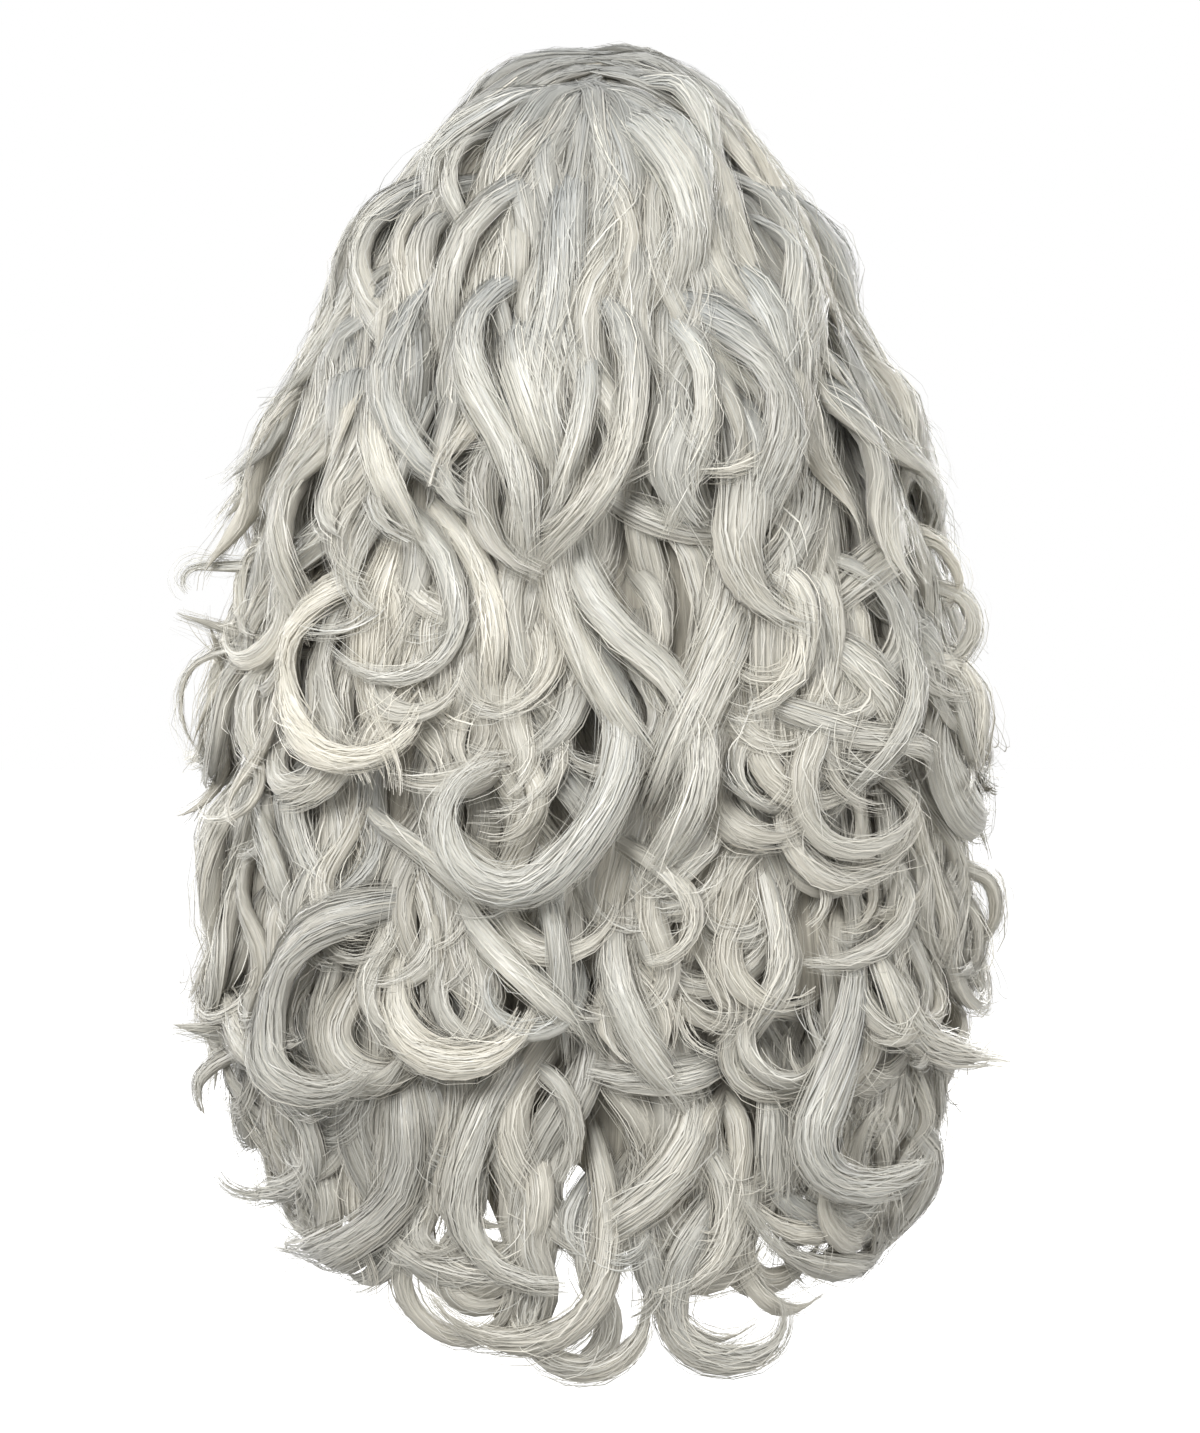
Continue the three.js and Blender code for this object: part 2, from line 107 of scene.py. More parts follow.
def wave(side: float, sway: float, radius: float, swings: int, curl: float, sweep: float) -> Arcs:
    """Arcs of a waving lock: a half swing, the full swings, then the curl at the end.

    Args:
        side: Side of the first swing, 1 or -1.
        sway: Turn of a full swing in degrees.
        radius: Radius of the swings in mm.
        swings: Number of full swings.
        curl: Radius of the end curl in mm.
        sweep: Turn of the end curl in degrees.

    Returns:
        Turn and radius of each arc.
    """
    arcs = [(side * sway / 2, radius)]
    turn = -side * sway
    for _ in range(swings):
        arcs.append((turn, radius))
        turn = -turn
    arcs.append((math.copysign(sweep, turn), curl))
    return arcs


@dataclass(frozen=True)
class CapForm:
    """The cap as part of an ellipsoid, and the line it is cut along, in mm."""

    half_width: float = 77.0
    half_depth: float = 97.0
    height: float = 115.0
    wall: float = 2.0
    edge: tuple[float, float, float] = (-114.5, 61.0, 3.5)
    rim: tuple[float, float, float] = (-112.25, 60.5, 7.75)

    def line(self, cut: tuple[float, float, float], angle: np.ndarray) -> np.ndarray:
        """Height of a cut line, given as mean, front rise and side rise, at angles from mid back."""
        return cut[0] - cut[1] * np.cos(angle) + cut[2] * np.cos(2 * angle)

    def place(self, angle: np.ndarray, z: np.ndarray, offset: float) -> np.ndarray:
        """Points of the cap's surface, moved out.

        Args:
            angle: Angles from mid back in radians.
            z: Heights in mm.
            offset: How far out they are moved in mm.

        Returns:
            Points in mm, (..., 3).
        """
        level = np.clip((z + self.height) / (self.height + offset), -1, 1)
        size = np.sqrt(1 - level * level)
        x = (self.half_width + offset) * size * np.sin(angle)
        y = -(self.half_depth + offset) * size * np.cos(angle)
        return np.stack([x, y, z + 0 * x], -1)


@dataclass(frozen=True)
class HairForm:
    """Outer surface of the hair: rows of z, half width, back depth and front depth, in mm.

    The other tiers lie some steps in from it. The parting runs from the whorl to the front edge, and
    hair is pulled away from it above the first height of pull_z, fully from the second up.
    """

    levels: tuple[tuple[float, float, float, float], ...] = (
        (40, 0, 0, 0),
        (35, 27, 38, 34),
        (20, 50, 74, 68),
        (0, 71, 99, 87),
        (-25, 90, 114, 98),
        (-50, 109, 124, 105),
        (-80, 121, 133, 106),
        (-110, 129, 141, 104),
        (-140, 142, 148, 100),
        (-170, 160, 155, 98),
        (-215, 181, 164, 96),
        (-260, 195, 171, 96),
        (-330, 210, 182, 98),
        (-400, 222, 192, 100),
        (-470, 230, 201, 100),
        (-520, 226, 205, 100),
        (-560, 209, 205, 100),
        (-640, 174, 205, 100),
    )
    roundness: float = 2.5
    step_width: float = 18.0
    step_depth: float = 20.0
    least: float = 0.2
    edge_share: float = 0.97
    dome_rows: int = 7
    parting: tuple[float, float] = (-84.0, 92.0)
    pull: float = 1.5
    pull_z: tuple[float, float] = (-70.0, 20.0)
    centre_z: float = -90.0
    snap_range: tuple[float, float] = (0.3, 2.5)
    snap_passes: int = 16
    slope_reach: float = 3.0

    def plan(self, z: np.ndarray, steps: int) -> tuple[np.ndarray, np.ndarray, np.ndarray]:
        """Half width, back depth and front depth at heights, some steps in from the crown.

        Args:
            z: Heights in mm.
            steps: Steps in from the crown's surface.

        Returns:
            Three arrays in mm.
        """
        table = np.array(self.levels)[::-1]
        width, back, front = (np.interp(z, table[:, 0], table[:, column]) for column in (1, 2, 3))
        inward = self.step_depth * steps
        return (
            np.maximum(width - self.step_width * steps, self.least),
            np.maximum(back - inward, self.least),
            np.maximum(front - inward, self.least),
        )

    def measure(self, points: np.ndarray, steps: int) -> np.ndarray:
        """How far out points are: under 1 inside a tier's surface, over 1 outside it.

        Args:
            points: Places in mm, (..., 3).
            steps: Steps in from the crown's surface.

        Returns:
            Share of the way out to the surface, (...).
        """
        width, back, front = self.plan(points[..., 2], steps)
        depth = np.where(points[..., 1] < 0, back, front)
        x = np.abs(points[..., 0]) / width
        y = np.abs(points[..., 1]) / depth
        return (x**self.roundness + y**self.roundness) ** (1 / self.roundness)

    def normals(self, points: np.ndarray, steps: int) -> np.ndarray:
        """Outward directions of a tier's surface near points.

        Args:
            points: Places in mm, (..., 3).
            steps: Steps in from the crown's surface.

        Returns:
            Directions, (..., 3).
        """
        slopes = []
        for axis in range(3):
            step = np.zeros(3)
            step[axis] = self.slope_reach
            slopes.append(self.measure(points + step, steps) - self.measure(points - step, steps))
        return unit(np.stack(slopes, -1))

    def snap(self, points: np.ndarray, steps: int) -> np.ndarray:
        """Points moved on to a tier's surface, out from the middle line, at the top from one centre.

        Args:
            points: Places near the surface in mm, (n, 3).
            steps: Steps in from the crown's surface.

        Returns:
            Points on the surface in mm, (n, 3).
        """
        centre = np.zeros_like(points)
        centre[:, 2] = np.minimum(points[:, 2], self.centre_z)
        ray = points - centre
        low, high = (np.full(len(points), share) for share in self.snap_range)
        for _ in range(self.snap_passes):
            middle = (low + high) / 2
            inside = self.measure(centre + ray * middle[:, None], steps) < 1
            low = np.where(inside, middle, low)
            high = np.where(inside, high, middle)
        return centre + ray * low[:, None]

    def top_height(self, y: float) -> float:
        """Height of the crown's surface over the middle line at a depth."""
        dome = np.array(self.levels[: self.dome_rows])
        return float(np.interp(abs(y), dome[:, 2 if y < 0 else 3], dome[:, 0]))

    def fall(self, points: np.ndarray, normals: np.ndarray, roots: np.ndarray) -> np.ndarray:
        """Direction that hair falls in: away from the parting at the top, straight down lower.

        Args:
            points: Places in mm, (n, 3).
            normals: Outward directions there.
            roots: How far each lock's root lies off the parting in x and y, (n, 2).

        Returns:
            Directions along the surface, (n, 3).
        """
        near = np.zeros_like(points)
        near[:, 1] = np.clip(points[:, 1], *self.parting)
        near[:, :2] += roots
        out = (points - near) * np.array([1, 1, 0])
        pull = self.pull * smooth(points[:, 2], *self.pull_z)
        way = unit(out) * pull[:, None] - np.array([0, 0, 1])
        way = way - normals * np.sum(way * normals, 1, keepdims=True)
        return unit(way)

    def walk(
        self,
        starts: np.ndarray,
        roots: np.ndarray,
        headings: np.ndarray,
        stride: np.ndarray,
        steps: int,
    ) -> tuple[np.ndarray, np.ndarray]:
        """Courses over a tier's surface, with headings measured from the way hair falls.

        Args:
            starts: First points in mm, (n, 3).
            roots: How far each root lies off the parting in x and y, (n, 2).
            headings: Headings at each stop in radians, (n, stops).
            stride: Length from stop to stop of each course in mm.
            steps: Steps in from the crown's surface.

        Returns:
            Points and normals, each (n, stops, 3).
        """
        points = np.empty((*headings.shape, 3))
        normals = np.empty_like(points)
        at = self.snap(starts, steps)
        for stop in range(headings.shape[1]):
            normal = self.normals(at, steps)
            points[:, stop] = at
            normals[:, stop] = normal
            down = self.fall(at, normal, roots)
            right = np.cross(normal, down)
            turn = headings[:, stop, None]
            way = down * np.cos(turn) + right * np.sin(turn)
            at = self.snap(at + way * stride[:, None], steps)
        return points, normals

    def chart_points(
        self, chart: Chart, across: np.ndarray, z: np.ndarray, steps: int
    ) -> np.ndarray:
        """Surface points of places on one side of the hair.

        Args:
            chart: Side of the hair.
            across: Places across it in mm.
            z: Heights in mm.
            steps: Steps in from the crown's surface.

        Returns:
            Points in mm, (n, 3).
        """
        sign, across_is_x = chart.value
        width, back, front = self.plan(z, steps)
        if across_is_x:
            reach, depth = width, (back if sign < 0 else front)
        else:
            reach, depth = np.where(across < 0, back, front), width
        share = np.minimum(np.abs(across) / reach, self.edge_share)
        out = sign * depth * (1 - share**self.roundness) ** (1 / self.roundness)
        return np.stack([across, out, z] if across_is_x else [out, across, z], 1)

    def place(self, angle: np.ndarray, z: np.ndarray, steps: int, offset: float) -> np.ndarray:
        """Points of a tier's surface, moved out.

        Args:
            angle: Angles from mid back in radians.
            z: Heights in mm.
            steps: Steps in from the crown's surface.
            offset: How far out they are moved in mm.

        Returns:
            Points in mm, (..., 3).
        """
        width, back, front = self.plan(z, steps)
        depth = np.where(np.cos(angle) > 0, back, front) + offset
        x = (width + offset) * power(np.sin(angle), 2 / self.roundness)
        y = -depth * power(np.cos(angle), 2 / self.roundness)
        return np.stack([x, y, z + 0 * x], -1)


@dataclass(frozen=True)
class Spine:
    """Middle line of a lock: points, frames, half width and thickness, run, and how far it is sunk."""

    points: np.ndarray
    side: np.ndarray
    up: np.ndarray
    half: np.ndarray
    thick: np.ndarray
    run: np.ndarray
    sunk: np.ndarray

    @property
    def share(self) -> np.ndarray:
        """Share of the lock's length at each point."""
        return (self.run - self.run[0]) / (self.run[-1] - self.run[0])


@dataclass
class Lock:
    """One lock: its start, heading and arcs, its width and lift, and how it is bedded, in mm.

    The lead before the start and the tail after a tucked end run under the neighbouring locks, and
    lead_hidden and tail_hidden are the shares of them that are left out. Ease is the share of its run
    over which it rises and widens, and rise_from the share of the lead where that begins. Kick is how
    far a free end stands out, free_slim and tucked_slim how much an end thins. Heave and period are
    the size and length of its waves in and out, and twist_run the length of its slow twist. An end is
    free past away_turn, or where its last arc is a curl of curl_turn and curl_radius.
    """

    across: float
    z: float
    heading: float
    arcs: Arcs
    width: float
    lift: float
    chart: Chart = Chart.BACK
    lead: float = 50.0
    tail: float = 55.0
    sink: float = 15.0
    tuck: float = 22.0
    flatness: float = 0.5
    twist: float = 0.4
    ease: float = 0.16
    kick: float = 5.0
    heave: float = 3.5
    period: float = 100.0
    top: float = 35.0
    lead_turn: float = 0.65
    tail_turn: float = 0.7
    rise_from: float = 0.2
    root_width: float = 0.3
    tip_from: float = 0.66
    free_slim: float = 0.45
    tucked_slim: float = 0.55
    tuck_run: float = 1.25
    lead_hidden: float = 0.5
    tail_hidden: float = 0.45
    deepest: float = 15.0
    twist_run: float = 120.0
    away_turn: float = 85.0
    curl_turn: float = 95.0
    curl_radius: float = 50.0

    def mirrored(self) -> "Lock":
        """The same lock on the other side of the middle.

        Returns:
            The new lock.
        """
        if self.chart is Chart.RIGHT:
            return replace(self, chart=Chart.LEFT)
        arcs = [(-turn, radius) for turn, radius in self.arcs]
        return replace(self, across=-self.across, heading=-self.heading, arcs=arcs)

    @property
    def free(self) -> bool:
        """Whether it ends in a free curl or points away, instead of being tucked in.

        Returns:
            True for a free end.
        """
        turn, radius = self.arcs[-1]
        last = self.heading + sum(turn for turn, _ in self.arcs)
        curled = abs(turn) >= self.curl_turn and radius <= self.curl_radius
        return self.tail == 0 or abs(last) > self.away_turn or curled

    def headings(self, stride: float) -> np.ndarray:
        """Headings at even strides along the arcs.

        Args:
            stride: Length of a stride in mm.

        Returns:
            Headings in radians.
        """
        turns = np.radians([turn for turn, _ in self.arcs])
        lengths = np.abs(turns) * np.array([radius for _, radius in self.arcs])
        ends = np.concatenate([[0], np.cumsum(lengths)])
        stops = np.arange(stride / 2, ends[-1], stride)
        course = math.radians(self.heading) + np.concatenate([[0], np.cumsum(turns)])
        return np.interp(stops, ends, course)

    def course(self, form: HairForm, steps: int) -> np.ndarray:
        """Finely spaced course on its chart, with the hidden lead before the start.

        Args:
            form: Outer surface of the hair.
            steps: Steps in from the crown's surface.

        Returns:
            Points in mm, (n, 3).
        """
        count = int(self.lead / STRIDE)
        heading = math.radians(self.heading)
        lead = heading * (1 - self.lead_turn * (np.arange(count, 0, -1) - 0.5) / max(count, 1))
        turned = np.concatenate([lead, self.headings(STRIDE)])
        if not self.free:
            ease = np.arange(int(self.tail / STRIDE)) * STRIDE / self.tail
            turned = np.concatenate([turned, turned[-1] * (1 - self.tail_turn * ease)])
        across = np.concatenate([[0], np.cumsum(np.sin(turned))]) * STRIDE
        drop = np.concatenate([[0], np.cumsum(np.cos(turned))]) * STRIDE
        across += self.across - across[count]
        z = np.minimum(self.z - drop + drop[count], self.top)
        return form.chart_points(self.chart, across, z, steps)

    def spine(
        self,
        points: np.ndarray,
        normals: np.ndarray,
        phase: float,
        spacing: tuple[float, float],
    ) -> Spine:
        """The lock's middle line in space, lifted, with its sections, as far as it shows.

        Args:
            points: Course on the surface in mm.
            normals: Outward directions along it.
            phase: Where its slow twist begins, from 0 to 1.
            spacing: Most length in mm and most turn in degrees between places.

        Returns:
            Points spaced by length and bend, with frames and half sizes.
        """
        run = lengths_along(points)
        full = self.lead + self.ease * (run[-1] - self.lead)
        rise = smooth(run, self.rise_from * self.lead, full)
        lift = (self.lift + self.sink) * rise - self.sink
        last = run[-1]
        if self.free:
            tip = smooth(run / last, self.tip_from, 1.0)
            lift += self.kick * tip
            slim = 1 - self.free_slim * tip
        else:
            tip = smooth(run, last - self.tuck_run * self.tail, last)
            lift -= (self.lift + self.tuck) * tip
            slim = 1 - self.tucked_slim * tip
            last -= self.tail_hidden * self.tail
        swell = 0.5 + np.sin(2 * np.pi * (run / self.period + 3 * phase))
        lift += self.heave * rise * slim * swell
        half = self.width / 2 * (self.root_width + (1 - self.root_width) * rise) * slim
        # How far the lock has sunk under its neighbours, from 0 to 1; it weights the painted shade there.
        sunk = smooth(-lift, -1.0, self.deepest)
        points = soften(points + normals * lift[:, None])
        shown = (run >= self.lead_hidden * self.lead) & (run <= last)
        rows = [row[shown] for row in (points, normals, half, run, sunk)]
        at = spaced(rows[0], *spacing)
        points, normals, half, run, sunk = (sampled(row, at) for row in rows)
        along = unit(np.gradient(points, axis=0))
        side = unit(np.cross(along, normals))
        up = np.cross(side, along)
        roll = self.twist * np.sin(2 * np.pi * (run / self.twist_run + phase))[:, None]
        return Spine(
            points,
            side * np.cos(roll) + up * np.sin(roll),
            up * np.cos(roll) - side * np.sin(roll),
            half,
            half * self.flatness,
            run,
            sunk,
        )


@dataclass(frozen=True)
class RootedLock:
    """A lock that falls from a root: its first point, and how far it lies off the parting, in mm."""

    lock: Lock
    start: np.ndarray
    off_parting: tuple[float, float] = (0.0, 0.0)


def lengths_along(points: np.ndarray) -> np.ndarray:
    """Length run from the first point to each point of a line."""
    return np.concatenate([[0], np.cumsum(np.linalg.norm(np.diff(points, axis=0), axis=1))])


def soften(points: np.ndarray, passes: int = 3) -> np.ndarray:
    """A line with its small corners rounded.

    Args:
        points: The line's points.
        passes: How often its points are drawn together.

    Returns:
        As many points, with the ends kept.
    """
    for _ in range(passes):
        middle = (points[:-2] + 2 * points[1:-1] + points[2:]) / 4
        points = np.concatenate([points[:1], middle, points[-1:]])
    return points


def spaced(points: np.ndarray, longest: float, sharpest: float) -> np.ndarray:
    """Places along a finely spaced line, closer where it bends.

    Args:
        points: The line in mm.
        longest: Most length between places in mm.
        sharpest: Most turn between places in degrees.

    Returns:
        Places as fractional row numbers.
    """
    steps = np.diff(points, axis=0)
    length = np.linalg.norm(steps, axis=1)
    along = unit(steps)
    bend = np.degrees(np.arccos(np.clip(np.sum(along[1:] * along[:-1], 1), -1, 1)))
    bend = np.concatenate([[0], bend])
    cost = np.concatenate([[0], np.cumsum(np.maximum(length / longest, bend / sharpest))])
    count = max(6, int(cost[-1]) + 2)
    return np.interp(np.linspace(0, cost[-1], count), cost, np.arange(len(points)))


def sampled(values: np.ndarray, at: np.ndarray) -> np.ndarray:
    """Values of rows read at fractional row numbers.

    Args:
        values: Rows of values.
        at: Fractional row numbers.

    Returns:
        A row of values for each number.
    """
    low = np.minimum(at.astype(int), len(values) - 2)
    part = at - low
    if values.ndim > 1:
        part = part[:, None]
    return values[low] * (1 - part) + values[low + 1] * part


def sampled_lines(lines: np.ndarray, share: np.ndarray) -> np.ndarray:
    """Lines read at shares of their rows.

    Args:
        lines: Points of the lines, (n, rows, 3).
        share: Shares from 0 to 1, (n, rows).

    Returns:
        Points of the lines at the shares, (n, rows, 3).
    """
    rows = lines.shape[1]
    at = np.clip(share * (rows - 1), 0, rows - 1.0001)
    low = at.astype(int)
    part = (at - low)[..., None]
    line = np.arange(len(lines))[:, None]
    return lines[line, low] * (1 - part) + lines[line, low + 1] * part


@dataclass(frozen=True)
class Fibres:
    """Fibres of a lock: their places in its section, and their lines along it.

    Across and high are in half widths and thicknesses of the lock, and arch is the height of its
    upper side there. Under marks those of the lower side. Share is the place of each point along the
    lock and middle the point in mm.
    """

    across: np.ndarray
    high: np.ndarray
    arch: np.ndarray
    under: np.ndarray
    clump: np.ndarray
    stray: np.ndarray
    share: np.ndarray
    middle: np.ndarray


@dataclass(frozen=True)
class FibreLook:
    """How a lock is filled: fibres, their width in mm, clumps, waver in mm, and shares of stray and
    shaded fibres.

    Gather is how far the clumps draw together. Tone and warmth set the colour, and root_cool greys
    the start. Depth is painted shade that mixes in the shade colour, with more of it painted where
    the lock sinks under its neighbours. Loose is how far in mm the ends of flyaway fibres stand away.
    Spread, widest, oval, scatter and clump_span are in half widths of the lock, and say where its
    fibres and clumps lie.
    """

    fibres: int = 70
    width: float = 0.46
    clumps: int = 6
    gather: float = 0.5
    waver: float = 0.8
    strays: float = 0.1
    shaded: float = 0.08
    tone: float = 0.5
    warmth: float = 0.5
    depth: float = 0.0
    root_cool: float = 0.0
    root_grey: float = 0.46
    root_share: float = 0.6
    loose: float = 0.0
    spread: float = 0.6
    widest: float = 1.3
    oval: float = 1.35
    scatter: float = 0.06
    under_share: float = 0.15
    clump_span: float = 0.82
    least_gather: float = 0.15
    stray_waver: float = 4.0
    most_waver: float = 8.0
    waver_run: tuple[float, float] = (45.0, 120.0)
    stray_width: float = 0.6
    taper: float = 0.6
    sunk_shade: float = 0.5

    def cool(self, share: np.ndarray) -> np.ndarray:
        """How far a lock is greyed, at shares of its length."""
        return self.root_cool * (1 - smooth(share, 0.0, self.root_share))

    def laid(self, spine: Spine, rng: np.random.Generator) -> Fibres:
        """Lays the fibres along a lock, drawn into clumps.

        Args:
            spine: Middle line of the lock.
            rng: Source of their places and lengths.

        Returns:
            The fibres.
        """
        n, rows = self.fibres, len(spine.run)
        across = np.clip(rng.normal(0, self.spread, n), -self.widest, self.widest)
        arch = np.sqrt(np.maximum(1 - (across / self.oval) ** 2, 0))
        under = rng.random(n) < self.under_share
        scatter = 1 + np.abs(rng.normal(0, self.scatter, n))
        high = arch * np.where(under, -1.0, 1.0) * scatter
        across = across * scatter
        centres = np.linspace(-self.clump_span, self.clump_span, self.clumps)
        centres = centres + rng.normal(0, self.scatter, self.clumps)
        clump = np.argmin(np.abs(across[:, None] - centres[None]), 1)
        gather = self.least_gather + self.gather * smooth(spine.share, 0.3, 1.0)[None]
        sideways = across[:, None] * (1 - gather) + centres[clump][:, None] * gather
        stray = (rng.random(n) < self.strays)[:, None]
        size = self.waver * np.exp(rng.normal(-0.3, 0.55, n))[:, None]
        size = size * np.where(stray, self.stray_waver, 1.0)
        size = np.minimum(size, self.most_waver) * (0.4 + 0.6 * spine.share)[None]
        drift = []
        for _ in range(2):
            period = rng.uniform(*self.waver_run, n)[:, None]
            turns = spine.run[None] / period + rng.random(n)[:, None]
            drift.append(size * np.sin(2 * np.pi * turns))
        away = self.loose * rng.uniform(0, 1, n)[:, None] * spine.share[None] ** 2
        offset = (
            spine.side[None] * (sideways * spine.half + drift[0])[..., None]
            + spine.up[None] * (high[:, None] * spine.thick + drift[1] * 0.8 + away)[..., None]
        )
        first = rng.uniform(0.0, 0.05, n)
        last = 1 - np.abs(rng.normal(0, 0.07, n))
        if self.loose:
            first = rng.uniform(0.05, 0.6, n)
            last = np.minimum(1.0, first + rng.uniform(0.25, 0.6, n))
        share = first[:, None] + (last - first)[:, None] * np.linspace(0, 1, rows)[None]
        middle = sampled_lines(spine.points[None] + offset, share)
        return Fibres(across, high, arch, under, clump, stray, share, middle)

    def ribbons(self, fibres: Fibres, spine: Spine, rng: np.random.Generator) -> np.ndarray:
        """Makes tapering ribbons of fibres, which face away from the middle of the lock.

        Args:
            fibres: The fibres.
            spine: Middle line of the lock.
            rng: Source of their widths and tilts.

        Returns:
            Points of both edges in mm, (n, rows, 2, 3).
        """
        n, rows = fibres.share.shape
        along = unit(np.gradient(fibres.middle, axis=1))
        height = fibres.high + 0.15 * np.sign(fibres.high)
        facing = spine.side[None] * fibres.across[:, None, None]
        facing = facing + spine.up[None] * height[:, None, None]
        facing = sampled_lines(np.broadcast_to(facing, fibres.middle.shape), fibres.share)
        facing = unit(facing + np.cross(along, facing) * rng.normal(0, 0.12, n)[:, None, None])
        sidewise = unit(np.cross(along, facing))
        taper = 1 - self.taper * smooth(np.linspace(0, 1, rows), 0.6, 1.0)
        wide = self.width * np.exp(rng.normal(0, 0.35, n))[:, None] * taper[None]
        wide = np.where(fibres.stray, wide * self.stray_width, wide)
        edges = wide[..., None] * np.array([-0.5, 0.5])
        return fibres.middle[:, :, None] + sidewise[:, :, None] * edges[..., None]

    def tones(self, fibres: Fibres, spine: Spine, rng: np.random.Generator) -> np.ndarray:
        """Tone, warmth and depth of fibres, greyer at the root. Lighter fibres along the lock's middle
        are a painted highlight, and depth is painted shade at its edges, on its lower side, on shaded
        fibres and where it sinks.

        Args:
            fibres: The fibres.
            spine: Middle line of the lock.
            rng: Source of their variety.

        Returns:
            Values at both edges, (n, rows, 2, 3).
        """
        n, rows = fibres.share.shape
        cool = self.cool(fibres.share)
        tone = np.empty((n, rows, 2, 3))
        clump_tone = rng.normal(0, 0.04, self.clumps)[fibres.clump]
        # Painted highlight and shade: fibres along the lock's middle are lighter, those towards its edges
        # darker.
        own = self.tone + clump_tone + rng.normal(0, 0.035, n) + 0.1 * (fibres.arch - 0.8)
        tone[..., 0] = (own[:, None] - self.root_grey * cool)[..., None]
        tone[..., 1] = (self.warmth + rng.normal(0, 0.14, n)[:, None] - cool)[..., None]
        # Depth is painted shade: more on the lower side, on shaded fibres, towards the edges and where
        # the lock is sunk.
        shaded = rng.random(n) < self.shaded
        sunk = np.interp(fibres.share * (rows - 1), np.arange(rows), spine.sunk)
        edge = 0.2 * smooth(np.abs(fibres.across), 0.5, 1.2)
        depth = (self.depth + 0.3 * fibres.under + 0.2 * shaded + edge)[:, None]
        tone[..., 2] = (depth + self.sunk_shade * sunk)[..., None]
        return tone


@dataclass(frozen=True)
class BodyShape:
    """Soft core of a lock: sides, its share of the lock's width and thickness, and its ends.

    Start and end are the shares of the length over which it draws in. Ridges are rows of a count
    round the core, a height and a slant, the radians that they turn by in a ridge_run in mm. Drift is
    how far its warmth swings, over a run in mm between those of drift_run. The last three fields paint
    shade on the core: a lower tone and more depth than its fibres, as shade beneath them, and more
    depth on its lower side.
    """

    sides: int = 8
    width_share: float = 0.86
    thickness_share: float = 0.94
    start: tuple[float, float] = (-0.04, 0.06)
    end: tuple[float, float] = (0.72, 0.985)
    ridges: tuple[tuple[int, float, float], ...] = ((3, 0.07, 1.0), (4, 0.05, -0.7))
    ridge_run: float = 45.0
    drift: float = 0.16
    drift_run: tuple[float, float] = (70.0, 150.0)
    core_shade_tone: float = 0.03
    beneath_shade: float = 0.1
    underside_shade: float = 0.3


